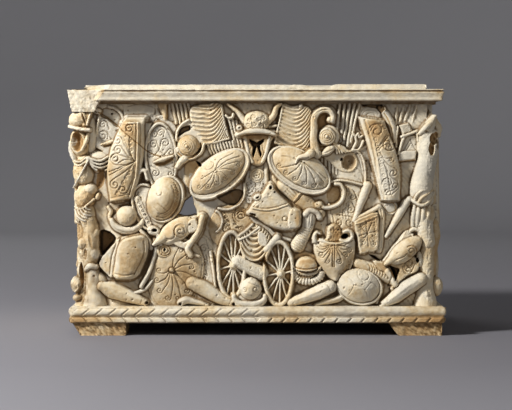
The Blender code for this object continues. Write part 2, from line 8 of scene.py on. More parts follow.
import bpy
import numpy as np
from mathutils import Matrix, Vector


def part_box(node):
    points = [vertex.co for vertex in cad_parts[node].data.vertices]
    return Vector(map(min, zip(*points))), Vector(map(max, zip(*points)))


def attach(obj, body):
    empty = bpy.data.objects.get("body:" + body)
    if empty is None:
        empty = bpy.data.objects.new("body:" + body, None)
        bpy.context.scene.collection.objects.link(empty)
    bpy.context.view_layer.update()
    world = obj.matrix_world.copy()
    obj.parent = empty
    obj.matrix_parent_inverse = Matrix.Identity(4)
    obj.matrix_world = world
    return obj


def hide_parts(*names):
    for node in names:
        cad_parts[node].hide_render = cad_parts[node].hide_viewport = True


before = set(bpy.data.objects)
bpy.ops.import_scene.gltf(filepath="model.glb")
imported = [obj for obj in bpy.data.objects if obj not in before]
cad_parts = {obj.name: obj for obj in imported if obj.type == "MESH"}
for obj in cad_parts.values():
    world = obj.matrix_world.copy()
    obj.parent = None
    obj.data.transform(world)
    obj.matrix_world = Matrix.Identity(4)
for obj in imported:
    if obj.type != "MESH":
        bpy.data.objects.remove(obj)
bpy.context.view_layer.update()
CHEST = "cinerary_chest"

# The block, in metres, as the solid has it.
LOW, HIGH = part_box(CHEST)
CHEST_LENGTH = HIGH.x - LOW.x
CHEST_DEPTH = HIGH.y - LOW.y
CHEST_TOP = HIGH.z
WALL = 0.032                  # marble between a carved ground and the cavity
CAVITY_FLOOR = 0.061
CAVITY_RIM = 0.012            # how far the cornice's piece reaches down into the cavity

FOOT_HEIGHT = 0.020
FOOT_LENGTH = 0.090           # along X
FOOT_WIDTH = 0.080            # along Y
FOOT_SETBACK = 0.002          # of the feet behind the band over them
FOOT_SLANT = 0.016            # by which the inner side of the right feet leans out at the sole
FOOT_WEAR = 0.013             # lost from the outer lower edge of the left feet

LEAF_BAND_HEIGHT = 0.010      # lower half of the garland on the base
LEAF_BAND_SETBACK = 0.003
TORUS_HEIGHT = 0.016          # upper, rounded half of the garland
TORUS_BULGE = 0.004
LEAF_BED = 0.0012             # how far the stone between the lower leaves lies back
TORUS_BED = 0.0014            # and between the upper ones
LEAF_STEP = 0.0206            # from one leaf to the next
LEAFLESS = 0.018              # of each side at its corners
FIELD_HEIGHT = 0.320          # carved field between base and cornice

CORNICE_SETBACK = 0.005       # of the cornice's top edge behind the base moulding
FILLET_UNDER = 0.005          # plain strip under the cornice's lip
HOLLOW_HEIGHT = 0.014         # the lip and the shallow hollow that flares out over it
HOLLOW_REACH = 0.010
GROOVE = 0.003                # width and depth of the groove over the hollow
FILLET_OVER = 0.0015          # plain strip over the groove
LID_SEAT_SETBACK = 0.024      # of the raised lid seat behind the cornice's edge

FRONT_RELIEF = 0.038          # depth of the carving on each face
SIDE_RELIEF = 0.020
BACK_RELIEF = 0.015
LEDGE = 0.0015                # base moulding that shows in front of the deepest carving

BAND_TOP = FOOT_HEIGHT + LEAF_BAND_HEIGHT
BASE_TOP = BAND_TOP + TORUS_HEIGHT
FIELD_TOP = BASE_TOP + FIELD_HEIGHT
GROOVE_BOTTOM = FIELD_TOP + FILLET_UNDER + HOLLOW_HEIGHT
CORNICE_TOP = GROOVE_BOTTOM + GROOVE + FILLET_OVER
FRONT_GROUND = CHEST_DEPTH / 2 - FRONT_RELIEF - LEDGE      # distances from the middle
SIDE_GROUND = CHEST_LENGTH / 2 - SIDE_RELIEF - LEDGE
BACK_GROUND = CHEST_DEPTH / 2 - BACK_RELIEF - LEDGE

# The carver's grid: u runs along a face from its middle, v up from the base and w out of it.
FIELD_ROWS = 203
COLUMN = CHEST_LENGTH / 381
END_COLUMN = CHEST_DEPTH / 286
ROW = FIELD_HEIGHT / FIELD_ROWS
DEPTH_STEPS = 24
FRONT_UNIT = FRONT_RELIEF / DEPTH_STEPS
SIDE_UNIT = SIDE_RELIEF / DEPTH_STEPS
BACK_UNIT = BACK_RELIEF / DEPTH_STEPS
SIDE_START = SIDE_GROUND / COLUMN
CORNER_AXIS = (171.0, -4.0)   # upright axis inside each front corner that its figure is cut round
CORNER_SPREAD = 20            # grid columns to a radian round a corner
# The break through the front wall, and its outline there.
HOLE = ((-67, 112), (-60, 91), (-72, 89), (-85, 92.5), (-84, 97.5), (-77, 103))

# The mesh over that grid.
GRID_ROWS = np.linspace(-0.9, FIELD_ROWS + 0.9, 373)       # let into the base and the cornice
FRONT_CELL = 0.55             # spacing in grid columns
BACK_CELL = 1.7
END_CELLS = 224
CORNER_CELLS = 74
RING_STEP = 0.0028            # spacing along the base and the cornice
BOX_MARGIN = 2e-5             # by which every piece stays inside the solid's box
SIDE_DROP = 3.2               # depth at which the sides of a form start to slope
SIDE_SLOPE = 2.6              # steepness of those sides, in depth units to a grid column

# Tones of the aged stone, from pale grey through cream and ochre, and the brown given to deep hollows
# as painted shade.
GREY, ASH, SILVER, PALE, IVORY, CREAM, BUFF = 0.0, 0.1, 0.15, 0.25, 0.3, 0.45, 0.5
HONEY, STRAW, TAN, RUSSET, OCHRE, HOLLOW_SHADE = 0.55, 0.6, 0.65, 0.7, 0.95, 1.3


# Numbers

def value_noise(x, y, seed):
    """Smooth noise from -1 to 1, with about one bump to a unit of x and y."""
    table = np.random.default_rng(seed).uniform(-1, 1, (256, 256))
    column, row = np.floor(x).astype(int), np.floor(y).astype(int)
    across, up = x - column, y - row
    across, up = across * across * (3 - 2 * across), up * up * (3 - 2 * up)
    level = []
    for line in (row, row + 1):
        left, right = table[column % 256, line % 256], table[(column + 1) % 256, line % 256]
        level.append(left * (1 - across) + right * across)
    return level[0] * (1 - up) + level[1] * up


def roughness_of(x, y, seed, octaves=3):
    """Several sizes of noise laid over each other, still about -1 to 1."""
    total = sum(value_noise(x * 2 ** k, y * 2 ** k, seed + k) / 1.8 ** k for k in range(octaves))
    return total / sum(1 / 1.8 ** k for k in range(octaves))


def blur(field, radius):
    """Average a map over a square of so many cells each way, twice, so that it comes out round."""
    for axis in (0, 1, 0, 1):
        pads = [(0, 0), (0, 0)]
        pads[axis] = (radius + 1, radius)
        sums = np.cumsum(np.pad(field, pads, mode="edge"), axis=axis)
        width = 2 * radius + 1
        ahead = np.take(sums, range(width, sums.shape[axis]), axis=axis)
        behind = np.take(sums, range(0, sums.shape[axis] - width), axis=axis)
        field = (ahead - behind) / width
    return field


def curve(points, steps=6, closed=False):
    """A smooth curve through a few points."""
    knots = np.asarray(points, float)
    if closed:
        knots = np.vstack([knots[-1:], knots, knots[:2]])
    else:
        knots = np.vstack([2 * knots[0] - knots[1], knots, 2 * knots[-1] - knots[-2]])
    line = []
    for a, b, c, d in zip(knots, knots[1:], knots[2:], knots[3:]):
        for s in np.arange(steps) / steps:
            bend = 2 * a - 5 * b + 4 * c - d + s * (3 * (b - c) + d - a)
            line.append(b + 0.5 * s * (c - a + s * bend))
    if not closed:
        line.append(knots[-2])
    return np.array(line)


def ring(points, steps=3):
    """A smooth closed outline through a few points."""
    return curve(points, steps, True)


def arc(at, size, first, last, steps=14, turn=0):
    """Points of an elliptical arc between two angles in degrees, the ellipse turned as a whole."""
    cos, sin = math.cos(math.radians(turn)), math.sin(math.radians(turn))
    angles = np.radians(np.linspace(first, last, steps + 1))
    a, b = size[0] * np.cos(angles), size[1] * np.sin(angles)
    return np.column_stack([at[0] + a * cos - b * sin, at[1] + a * sin + b * cos])


def loop(at, size, steps, turn=0):
    """Points round a whole ellipse, or round a circle where size is one radius."""
    return arc(at, np.broadcast_to(size, 2), 0, 360, steps, turn)


def volute(stem, eye, way):
    """A stem that winds up into a spiral round its eye; way is 1 anticlockwise and -1 clockwise."""
    line = curve(stem, 5)
    arm = line[-1] - np.asarray(eye, float)
    start, radius = math.atan2(arm[1], arm[0]), math.hypot(*arm)
    turns = 1.3
    share = np.linspace(0, 1, int(22 * turns))[1:]
    angle = start + way * share * turns * 2 * math.pi
    reach = radius * (1 - 0.82 * share)
    spiral = np.column_stack([eye[0] + reach * np.cos(angle), eye[1] + reach * np.sin(angle)])
    return np.vstack([line, spiral])


def to_path(across, up, path):
    """Distance of each point from a path, and how far along the path its nearest place is."""
    near = np.full(across.shape, np.inf)
    place = np.zeros(across.shape)
    for k, (start, end) in enumerate(zip(path, path[1:])):
        run_u, run_v = end[0] - start[0], end[1] - start[1]
        off_u, off_v = across - start[0], up - start[1]
        share = np.clip((off_u * run_u + off_v * run_v) / (run_u ** 2 + run_v ** 2 + 1e-9), 0, 1)
        distance = np.hypot(off_u - share * run_u, off_v - share * run_v)
        place = np.where(distance < near, (k + share) / (len(path) - 1), place)
        near = np.minimum(near, distance)
    return near, place


def to_outline(across, up, outline):
    """Distance from a closed outline, negative inside it."""
    closed = np.vstack([outline, outline[:1]])
    distance = to_path(across, up, closed)[0]
    inside = np.zeros(across.shape, bool)
    for (u0, v0), (u1, v1) in zip(closed, closed[1:]):
        if v0 != v1:
            inside ^= ((v0 > up) != (v1 > up)) & (across < (u1 - u0) * (up - v0) / (v1 - v0) + u0)
    return np.where(inside, -distance, distance)


def in_oval(across, up, at, size, turn):
    """Each point's place in a turned oval, as shares of its two half-lengths."""
    cos, sin = math.cos(math.radians(turn)), math.sin(math.radians(turn))
    off_u, off_v = across - at[0], up - at[1]
    return (off_u * cos + off_v * sin) / size[0], (off_v * cos - off_u * sin) / size[1]


# Faces and the forms on them

class Face:
    """A carved face: a height w at each crossing of its grid, and the tone of the stone there.

    Each column has a ray in the plan of the block, along which its heights are measured, so that
    round forms can be cast on a flat face as well as round a corner.
    """

    def __init__(self, along, rows, starts, runs, scale, base, seed):
        self.along, self.rows = np.asarray(along, float), rows
        self.starts, self.runs = np.asarray(starts, float), np.asarray(runs, float)
        self.scale = scale
        self.cell = abs(self.along[1] - self.along[0])
        across, up = np.meshgrid(self.along, self.rows)
        self.across, self.up = across, up
        # Hand-cut outlines are never true: forms are measured on a grid that wavers a little.
        self.wavering = (across + 0.45 * roughness_of(across / 5.5, up / 5.5, seed + 20),
                         up + 0.45 * roughness_of(across / 5.5, up / 5.5, seed + 30))
        self.w = base + 0.25 * roughness_of(across / 9, up / 9, seed)
        self.shift = np.zeros(self.w.shape + (2,))
        self.tone = np.full(self.w.shape, SILVER)
        self.owner = np.zeros(self.w.shape, int)
        # Darkening laid on the face: painted shade over patches, in bored holes and on the post, with
        # some soiling.
        self.shade_and_grime = np.zeros(self.w.shape)
        self.forms = 0
        self.bores = []

    def place(self):
        """Where each crossing of the grid lies, in metres."""
        slope = np.gradient(self.starts, self.along, axis=0)
        reach = self.starts + self.runs * self.w[..., None] / self.scale + slope * self.shift[..., :1]
        return np.stack([reach[..., 0] * COLUMN, -FRONT_GROUND - reach[..., 1] * FRONT_UNIT,
                         BASE_TOP + (self.up + self.shift[..., 1]) * ROW], axis=-1)

    def window(self, points, margin=2.0):
        """The part of the grid round some points."""
        points = np.asarray(points, float)
        low, high = points.min(0) - margin, points.max(0) + margin
        i, j = np.searchsorted(self.rows, (low[1], high[1])), np.searchsorted(self.along,
            (low[0], high[0]))
        spot = np.s_[i[0]:i[1], j[0]:j[1]]
        return spot, self.wavering[0][spot], self.wavering[1][spot]

    def lay(self, spot, gap, height, edge, tone):
        """Raise the stone to a form's height inside its edge, where gap is negative.

        The crossings nearest to the edge are shifted on to it, and the form's number is given back.
        """
        if gap.shape[0] < 2 or gap.shape[1] < 2:
            return 0
        fall = np.clip(1 + gap / edge, 0, 1)
        height = height - edge * (1 - np.sqrt(1 - fall ** 2))
        inside = (gap < self.cell / 2) & (height > self.w[spot])
        self.forms += 1
        slope_v, slope_u = np.gradient(gap, self.cell)
        at_edge = (np.abs(gap) < self.cell / 2)[..., None]
        to_edge = np.where(at_edge, -gap[..., None] * np.stack([slope_u, slope_v], -1), 0)
        self.w[spot][inside] = height[inside]
        self.shift[spot][inside] = to_edge[inside]
        self.owner[spot][inside] = self.forms
        self.tone[spot][inside] = tone
        return self.forms

    def cast(self, at, size, turn, tone, cut):
        """Raise what shows of an ellipsoid at (u, v, w), or cut its hollow into the stone."""
        cos, sin = math.cos(math.radians(turn)), math.sin(math.radians(turn))
        i0, i1 = np.searchsorted(self.rows, (at[1] - max(size), at[1] + max(size)))
        if i1 - i0 < 1:
            return
        up = self.rows[i0:i1, None] - at[1]
        off_u, off_w = self.starts[:, 0] - at[0], self.starts[:, 1] - at[2]
        run_u, run_w = self.runs[:, 0], self.runs[:, 1]
        start = ((off_u * cos + up * sin) / size[0], (up * cos - off_u * sin) / size[1],
                 off_w / size[2] + 0 * up)
        run = (run_u * cos / size[0], -run_u * sin / size[1], run_w / size[2])
        square = sum(r * r for r in run)
        half = sum(s * r for s, r in zip(start, run))
        rest = sum(s * s for s in start) - 1
        inner = half * half - square * rest
        root = np.sqrt(np.maximum(inner, 0))
        far, near = (root - half) / square * self.scale, (-root - half) / square * self.scale
        here = self.w[i0:i1]
        if cut:
            hit = (inner > 0) & (here > near) & (here < far)
            here[hit] = near[hit]
            self.tone[i0:i1][hit] = tone
            return
        hit = (inner > 0) & (far > here)
        here[hit] = far[hit]
        self.tone[i0:i1][hit] = tone
        self.shift[i0:i1][hit] = 0
        self.owner[i0:i1][hit] = 0

    def oval(self, at, size, w, dome, turn=0, edge=1.2, tone=CREAM, ball=False, tilt=0.0):
        """An oval form: w is its highest point and dome how far its edge lies under that.

        A ball is round to its edge; tilt is how much further out it stands for each row up.
        """
        spot, across, up = self.window(loop(at, size, 24, turn))
        a, b = in_oval(across, up, at, size, turn)
        out = np.hypot(a, b)
        gap = (out - 1) * out / np.maximum(np.hypot(a / size[0], b / size[1]), 1e-6)
        share = np.minimum(out, 1) ** 2
        share = 1 - np.sqrt(1 - share) if ball else share
        return self.lay(spot, gap, w - dome * share + tilt * (up - at[1]), edge, tone)

    def plate(self, outline, w, dome=0.0, edge=1.2, tone=CREAM, tilt=(0, 0), sides=None):
        """A form inside an outline; sides are its left and right edge, between which it arches."""
        outline = np.asarray(outline, float)
        spot, across, up = self.window(outline)
        middle = outline.mean(0)
        height = w + tilt[0] * (across - middle[0]) + tilt[1] * (up - middle[1])
        if sides:
            left, right = (to_path(across, up, side)[0] for side in sides)
            height = height - dome * ((left - right) / (left + right + 1e-6)) ** 2
        return self.lay(spot, to_outline(across, up, outline), height, edge, tone)

    def bar(self, path, radius, w, tone=CREAM, edge=0.9, flat=0.0):
        """A rounded bar on a path; radius and crest w are one value or one for each point given."""
        path = np.asarray(path, float)
        radii = np.broadcast_to(radius, len(path)).astype(float)
        crests = np.broadcast_to(w, len(path)).astype(float)
        spot, across, up = self.window(path, radii.max() + 2)
        distance, place = to_path(across, up, path)
        marks = np.linspace(0, 1, len(path))
        reach, crest = np.interp(place, marks, radii), np.interp(place, marks, crests)
        share = np.clip(distance / reach, 0, 1)
        height = crest - (1 - flat) * reach * (1 - np.sqrt(1 - 0.97 * share ** 2))
        return self.lay(spot, distance - reach, height, edge, tone)

    def line(self, form, path, width, depth, tone=None):
        """Incise a line on a form, or on all the stone for form 0; a depth below 0 raises it. A tone
        tints the groove, its darker tones as painted shade with soiling.
        """
        path = np.asarray(path, float)
        spot, across, up = self.window(path, 3 * width)
        distance = to_path(across, up, path)[0]
        on_form = self.owner[spot] == form if form else np.ones(distance.shape, bool)
        amount = np.exp(-(distance / width) ** 2) * on_form
        self.w[spot] -= depth * amount
        # A darker tone in the groove is painted shade, with soiling.
        if tone is not None:
            self.tone[spot] += (tone - self.tone[spot]) * np.minimum(1, 1.3 * amount)

    def lines(self, form, paths, width, depth, tone=None):
        for path in paths:
            self.line(form, path, width, depth, tone)

    def rings(self, form, at, radii, width, depth, tone=None, steps=30):
        """Incise circles one inside the other."""
        self.lines(form, [loop(at, radius, steps) for radius in radii], width, depth, tone)

    def scrolls(self, form, *stems, width=0.6, depth=1.1):
        """Incise stems that wind up into spirals; each is its points, its eye and its way round."""
        self.lines(form, [volute(*stem) for stem in stems], width, depth)

    def patch(self, at, size, turn):
        """The grid under a soft-edged oval patch, and how much of it each crossing has."""
        spot, across, up = self.window(loop(at, (1.6 * size[0], 1.6 * size[1]), 24, turn))
        return spot, np.clip(1.6 - np.hypot(*in_oval(across, up, at, size, turn)), 0, 1)

    def stain(self, at, size, tone, turn=0, amount=1.0):
        """Tint a patch towards a tone."""
        spot, share = self.patch(at, size, turn)
        self.tone[spot] += (tone - self.tone[spot]) * amount * share

    def darken_patch(self, at, size, turn, amount=0.45):
        """Darken a patch towards brown, more in some places than in others; mostly painted shade."""
        spot, share = self.patch(at, size, turn)
        uneven = 0.7 + 0.3 * value_noise(self.across[spot] / 4.0, self.up[spot] / 4.0, 63)
        self.shade_and_grime[spot] = np.maximum(self.shade_and_grime[spot], amount * share * uneven)

    def drill(self, at, radius, depth):
        """A drilled hole, or a low stud where depth is negative."""
        spot, across, up = self.window([at], radius + 1)
        reach = np.hypot(across - at[0], up - at[1]) / radius
        self.w[spot] -= depth * np.clip(1.6 * (1 - reach ** 2), 0, 1)

    def bore(self, outline, depth):
        """Note a deep hole or slit to be cut once all the forms stand."""
        self.bores.append((np.asarray(outline, float), depth))

    def cut_bores(self):
        """Cut the holes and slits that were noted, and darken them with painted shade and soiling."""
        for outline, depth in self.bores:
            spot, across, up = self.window(outline)
            sunk = np.clip(-to_outline(across, up, outline) / 0.7, 0, 1)
            self.w[spot] = np.maximum(self.w[spot] - depth * sunk, -4)
            # Painted shade, with soiling, darkens the holes.
            self.shade_and_grime[spot] = np.maximum(self.shade_and_grime[spot], 0.8 * sunk)

    def ripple(self, form, wave, amount, sharp=False):
        """Folds or ribs on a form: wave gives their phase, in turns, at each (u, v)."""
        rows, columns = np.nonzero(self.owner == form)
        phase = wave(self.across[rows, columns], self.up[rows, columns])
        fold = 1 - 2 * np.abs(np.sin(math.pi * phase)) ** 0.8 if sharp else np.cos(2 * math.pi * phase)
        self.w[rows, columns] += amount * fold


def limb(faces, path, radii, tone):
    """A round limb or fold on a path of (u, v, w) points, cast on each face that it touches."""
    path = np.asarray(path, float)
    radii = np.broadcast_to(radii, len(path)).astype(float)
    knots = curve(np.column_stack([path, radii]), 8)
    steps = np.linalg.norm(np.diff(knots[:, :3], axis=0), axis=1)
    place = np.concatenate([[0], np.cumsum(steps)])
    count = max(2, int(place[-1] / (0.35 * radii.min())))
    for share in np.linspace(0, place[-1], count):
        u, v, w, radius = (np.interp(share, place, knots[:, k]) for k in range(4))
        round_form(faces, (u, v, w), (radius, radius, radius), 0, tone)


def round_form(faces, at, size, turn, tone, cut=False):
    """An ellipsoid or a hollow cast on each face that it touches."""
    for face in faces:
        face.cast(at, size, turn, tone, cut)


def running_scrolls(face, form, path, count, reach, way=-1, width=0.55, depth=1.0):
    """Small spirals one after another along a path."""
    path = np.asarray(path, float)
    for share in (np.arange(count) + 0.5) / count:
        spot = share * (len(path) - 1)
        start, end = path[int(spot)], path[int(spot) + 1]
        ahead = (end - start) / max(np.hypot(*(end - start)), 1e-6) * reach
        eye = start + (end - start) * (spot % 1)
        side = np.array([ahead[1], -ahead[0]]) * way
        stem = [eye - 2.1 * ahead + 0.6 * side, eye - 0.3 * ahead + side]
        face.line(form, volute(stem, eye, way), width, depth)


def fan(face, form, focus, eyes, way=1, reach=2.7, width=0.6, depth=1.2):
    """Stems that spread from one point, each wound up round an eye at its end."""
    focus = np.asarray(focus, float)
    for eye in np.asarray(eyes, float):
        ahead = (eye - focus) / np.hypot(*(eye - focus))
        side = np.array([-ahead[1], ahead[0]]) * way
        end = eye + reach * side
        stem = [focus + 2 * ahead, (focus + end) / 2 + reach * side / 2, end]
        face.line(form, volute(stem, eye, -way), width, depth)


def slope_sides(face, rough=1.0):
    """Slope the sides of the forms as a chisel leaves them in a narrow gap, and wear the stone.

    Arrises are painted paler than the planes beside them, as rubbed stone and as painted highlight.
    """
    low = face.w - SIDE_DROP
    step = SIDE_SLOPE * face.cell
    for _ in range(int(20 / step)):
        near = np.pad(low, 1, mode="edge")
        square = np.maximum.reduce([near[:-2, 1:-1], near[2:, 1:-1], near[1:-1, :-2], near[1:-1, 2:]])
        slant = np.maximum.reduce([near[:-2, :-2], near[2:, 2:], near[2:, :-2], near[:-2, 2:]])
        low = np.maximum.reduce([low, square - step, slant - 1.41 * step])
    fine = 0.14 * rough * roughness_of(face.across / 1.7, face.up / 1.7, 51)
    broad = 0.30 * rough * roughness_of(face.across / 6.0, face.up / 6.0, 55)
    outside_hole = face.w > -1
    face.w = np.where(outside_hole, np.maximum(face.w, low) + fine + broad, face.w)
    # Painted highlight and rubbing: proud edges are tinted towards pale.
    proud = face.w - blur(face.w, max(1, int(round(1.3 / face.cell))))
    face.tone = face.tone + (PALE - face.tone) * 0.45 * np.clip((proud - 0.05) / 0.8, 0, 1)


# Arms and armour, each shape used wherever the heap shows one

def cut_out(face, outline, floor, tone):
    """Cut the stone inside an outline down to a floor."""
    outline = np.asarray(outline, float)
    spot, across, up = face.window(outline)
    inside = (to_outline(across, up, outline) < 0) & (face.w[spot] > floor)
    face.w[spot][inside] = floor
    face.shift[spot][inside] = 0
    face.owner[spot][inside] = 0
    face.tone[spot][inside] = tone


def domed_shield(face, at, size, w, dome, turn, slip, tone, rim=3.4):
    """A bowl-shaped shield: slip is how far the bowl lies off its rim, which then shows on one side."""
    face.oval(at, size, w - dome - 0.6, 0, turn, 1.8, PALE)
    face.bar(loop(at, (size[0] - 1.3, size[1] - 1.3), 60, turn), 1.3, w - dome + 0.5, PALE)
    middle = at[0] + slip[0], at[1] + slip[1]
    bowl = size[0] - rim, size[1] - rim
    form = face.oval(middle, bowl, w, dome, turn, 0.8, tone)
    face.line(0, loop(middle, bowl, 60, turn), 0.6, 1.0)
    return form


def rimmed_oval(face, at, size, w, dome, turn, tone, rim=2.2, tilt=0.0):
    """A shield with a raised rim; tilt is how much further out its top leans for each step up."""
    form = face.oval(at, size, w, dome, turn, tone=tone, tilt=tilt)
    face.line(form, loop(at, (size[0] - rim, size[1] - rim), 60, turn), 0.7, 0.7)
    return form


def long_shield(face, left, right, w, tone, tilt=(0, 0)):
    """A half-cylinder shield: its left and right edges run from the top down."""
    sides = curve(left, 5), curve(right, 5)
    return face.plate(np.vstack([sides[0], sides[1][::-1]]), w, 4.5, 1.2, tone, tilt, sides)


def brim(face, at, size, first, last, thick, w, tone, layers=1):
    """The brim of a helmet, in one or more layers one over the other."""
    for k in range(layers):
        edge = arc((at[0], at[1] - 2.2 * k), size, first, last, 24)
        taper = thick * (0.75 + 0.25 * np.sin(np.linspace(0, math.pi, len(edge))))
        face.bar(edge, taper, w - 1.5 * k, tone, flat=0.3)


def sheaf(face, top, foot, pitch, count, radius, w):
    """Shafts side by side, from the first one's top to its foot."""
    for k in range(count):
        shift = pitch * k
        path = [(top[0] + shift, top[1]), (foot[0] + shift, foot[1] - 0.3 * k)]
        face.bar(path, radius, (w - 0.4 * (k % 2), w - 0.5))


def star(face, form, at, reach, points=6):
    """Straight rays incised round a point."""
    for k in range(points):
        angle = 2 * math.pi * k / points + 0.3
        tip = at[0] + reach * math.cos(angle), at[1] + reach * math.sin(angle)
        face.line(form, [at, tip], 0.55, 0.6)


def wheel(face, at, size, hub, w, turn):
    """A chariot wheel seen aslant, with its spokes set from the hub to the rim."""
    face.oval(at, size, w - 8, 0, tone=TAN, edge=0.8)
    for k in range(12):
        angle = math.radians(turn + 30 * k)
        end = at[0] + size[0] * 0.97 * math.cos(angle), at[1] + size[1] * 0.97 * math.sin(angle)
        face.bar([hub, end], (0.85, 0.6), (w - 3.0, w - 3.6), PALE, edge=0.5)
    rim = loop(at, (size[0] - 1.1, size[1] - 1.6), 60)
    thick = 1.3 + 0.7 * np.abs(np.sin(np.linspace(0, 2 * math.pi, len(rim))))
    face.bar(rim, thick, w, flat=0.3)
    face.oval(hub, (4.0, 4.3), w - 0.5, 1.0)
    face.line(0, loop(hub, (3.2, 3.5), 16), 0.5, 1.0)
    face.oval(hub, (2.4, 2.8), w + 2.0, 2.0, ball=True)


def greave(face, path, radii, w, tone, mouth=None):
    """Shin armour: a tapering half tube bent at the calf, open at its lower end."""
    line = curve(path, 5)
    marks = np.linspace(0, 1, len(line))
    reach = np.interp(marks, np.linspace(0, 1, len(radii)), radii)
    crest = w - 2.6 * marks ** 2
    form = face.bar(line, reach, crest, tone)
    ridge = line + np.column_stack([0 * reach, 0.3 * reach])
    face.line(form, ridge[2:-1], 1.5, -0.6)
    end, before = line[-2], line[-4]
    across = np.array([before[1] - end[1], end[0] - before[0]]) / max(np.hypot(*(end - before)),
        1e-6) * reach[-2]
    face.line(form, [end - across, end + across], 0.5, 0.7)
    if mouth:
        face.drill(mouth, 1.7, 7)
    return form


# The front: the heap, from the cornice down to the base

def left_top(face):
    """Low scroll shield, spears and fringe beside the broken corner."""
    face.plate([(-136, 203), (-103, 203), (-104, 192), (-112, 189), (-134, 189)], 6.5, tone=GREY)
    face.line(0, curve([(-130, 201), (-118, 203), (-105, 200), (-103, 194), (-108, 191.5)]), 0.6, 0.7)
    low = face.plate(ring([(-159, 193), (-142, 180), (-134, 176), (-140, 150), (-152, 151),
        (-156, 155.5), (-166, 163), (-163, 171), (-161, 184)]), 9.5, tone=GREY)
    face.bar(curve([(-158.5, 192), (-160.5, 182), (-163, 171), (-165.5, 164)]), 1.2, 11, PALE)
    face.scrolls(low, ([(-149, 178), (-151, 184)], (-155, 182.4), 1), ([(-147, 168), (-150, 173.5)],
        (-155.3, 171.4), 1), width=0.6)
    face.line(low, curve([(-150.5, 168), (-151, 174), (-156, 176)]), 0.6, 0.9)
    face.line(low, [(-157, 188.6), (-139, 176.5)], 0.6, 0.9)
    face.line(0, curve([(-166.5, 163.5), (-163, 159), (-156, 155.5)]), 0.8, 1.8, OCHRE)
    face.bar([(-157, 162.7), (-146, 165.4)], (0.8, 2.0), 12.5)
    face.line(0, [(-154, 160.6), (-146.5, 162.2)], 0.8, 1.8, OCHRE)
    # The hollow where the upper part broke away.
    cut_out(face, ring([(-158, 198), (-147, 200), (-140, 195), (-137.5, 188), (-139, 183),
        (-144, 182.5), (-150, 187), (-158, 191)]), 3.5, GREY)
    face.bar(curve([(-150, 201), (-143.4, 199.3), (-137.5, 194), (-134.5, 187)]), 1.5, 8, GREY)
    face.bore(loop((-146.8, 193.3), (1.3, 1.1), 10), 6)
    face.plate(ring([(-165, 199), (-158, 198), (-159, 193), (-165, 195)]), 11, tone=PALE)
    face.bore([(-165.5, 196.5), (-160.5, 193.6), (-162, 196.2)], 5)
    face.bar([(-95, 202), (-92.3, 188)], [4.8, 1.6], 9.5, TAN)
    face.line(0, [(-90.4, 202), (-91, 188)], 0.8, 2.0, OCHRE)
    face.line(0, [(-101, 199), (-94, 187)], 0.6, 1.0)
    sheaf(face, (-86, 204), (-81.5, 184), 4.1, 5, 1.2, 8.5)
    face.plate(ring([(-102, 190), (-96, 192), (-90, 187), (-84, 183), (-80, 176), (-84, 172),
        (-90, 180), (-97, 187)]), 8, tone=GREY)
    for k in range(3):
        face.line(0, [(-104 + 2.4 * k, 186 + 0.6 * k), (-100 + 2.4 * k, 190.5 - 0.4 * k)], 0.5, 0.7)


def tipped_helmet(face):
    """A bowl helmet lying on its side, its brim and cheek piece curled round it."""
    face.plate(ring([(-81, 166), (-80.5, 176), (-76, 183), (-68, 187.5), (-66, 183), (-60, 178),
        (-54, 168), (-60, 158)]), 12, tone=PALE)
    face.bar(curve([(-81, 167), (-80, 176), (-75, 183), (-69, 187)]), 1.2, 14, PALE)
    face.bore(ring([(-80, 170), (-78.5, 177), (-74.5, 180.8), (-67.5, 181.8), (-66.8, 177),
        (-72, 174.4), (-76, 172)]), 6)
    face.bar(curve([(-80, 158), (-77, 152), (-71, 149), (-63, 150), (-56, 155.5), (-53.5, 163)]),
        (2.0,) * 8 + (1.7,) * 8 + (1.5,) * 8 + (1.2,) * 7, 15, PALE)
    face.line(0, arc((-69.3, 161.2), (12.4, 12.2), 215, 370, 30), 0.8, 2.2, OCHRE)
    bowl = face.oval((-69.4, 161.2), (10.9, 10.7), 20, 9, tone=TAN, ball=True)
    face.rings(bowl, (-70.8, 160.6), (2.2, 4.2, 6.3, 8.4), 0.55, 0.7)
    face.drill((-70.8, 160.6), 1.3, -1.4)
    # The cheek piece under it and the drilled gap beside that.
    face.bar(curve([(-80.5, 140), (-77.5, 144.5), (-73, 148.5)]), np.linspace(2.2, 3.8, 13), 15.5,
        PALE)
    face.line(0, curve([(-80, 137.6), (-75.5, 140), (-71.5, 145)]), 0.7, 1.2)
    face.bore(ring([(-62, 146.5), (-58.5, 144.6), (-55.5, 142), (-57, 139.5), (-60.5, 143)]), 9)
    face.plate(ring([(-73, 143), (-62, 146), (-55, 140), (-62, 120), (-72, 122)]), 6.5, tone=TAN)


def upper_left_flag(face):
    """The left standard's cloth, its folds hanging in bows from the right, and its fringe."""
    form = face.plate(ring([(-67, 199), (-52, 203), (-36, 203), (-33.5, 187), (-29, 172),
        (-28, 168.5), (-40, 165), (-53.5, 163.5), (-58, 170), (-65, 180)]), 12.5)
    face.ripple(form, lambda u, v: (v - np.where(u > -50, 12 * ((u + 50) / 14) ** 2,
        2.0 * (-50 - u) / 16) + 0.8 * value_noise(u / 6, v / 6, 5)) / 4.3, 0.95, sharp=True)
    face.bar(curve([(-36, 202), (-33.7, 187), (-29.5, 171.5)]), 0.8, 13, PALE)
    face.bar(curve([(-54, 163.3), (-41, 165), (-28.5, 168.6)]), 0.8, 13.2, PALE)
    for k in range(9):
        start = -49.5 + 3.1 * k, 162.5 + 0.4 * k
        face.bar([start, (start[0] + 1.2, start[1] - 5), (start[0] + 3.2, start[1] - 9.5)],
            (1.1, 1.0, 0.7), (12, 11.5, 10), PALE, edge=0.5)
    for k in range(3):
        face.bar([(-28.5 + 3.6 * k, 188 - k), (-21 + 3.2 * k, 158)], 1.2, 10 - 0.5 * k, PALE)
    face.bar(curve([(-31.5, 191.5), (-28.5, 189.3), (-24.8, 190.2), (-24, 193)]), 1.1, 13.5, PALE)


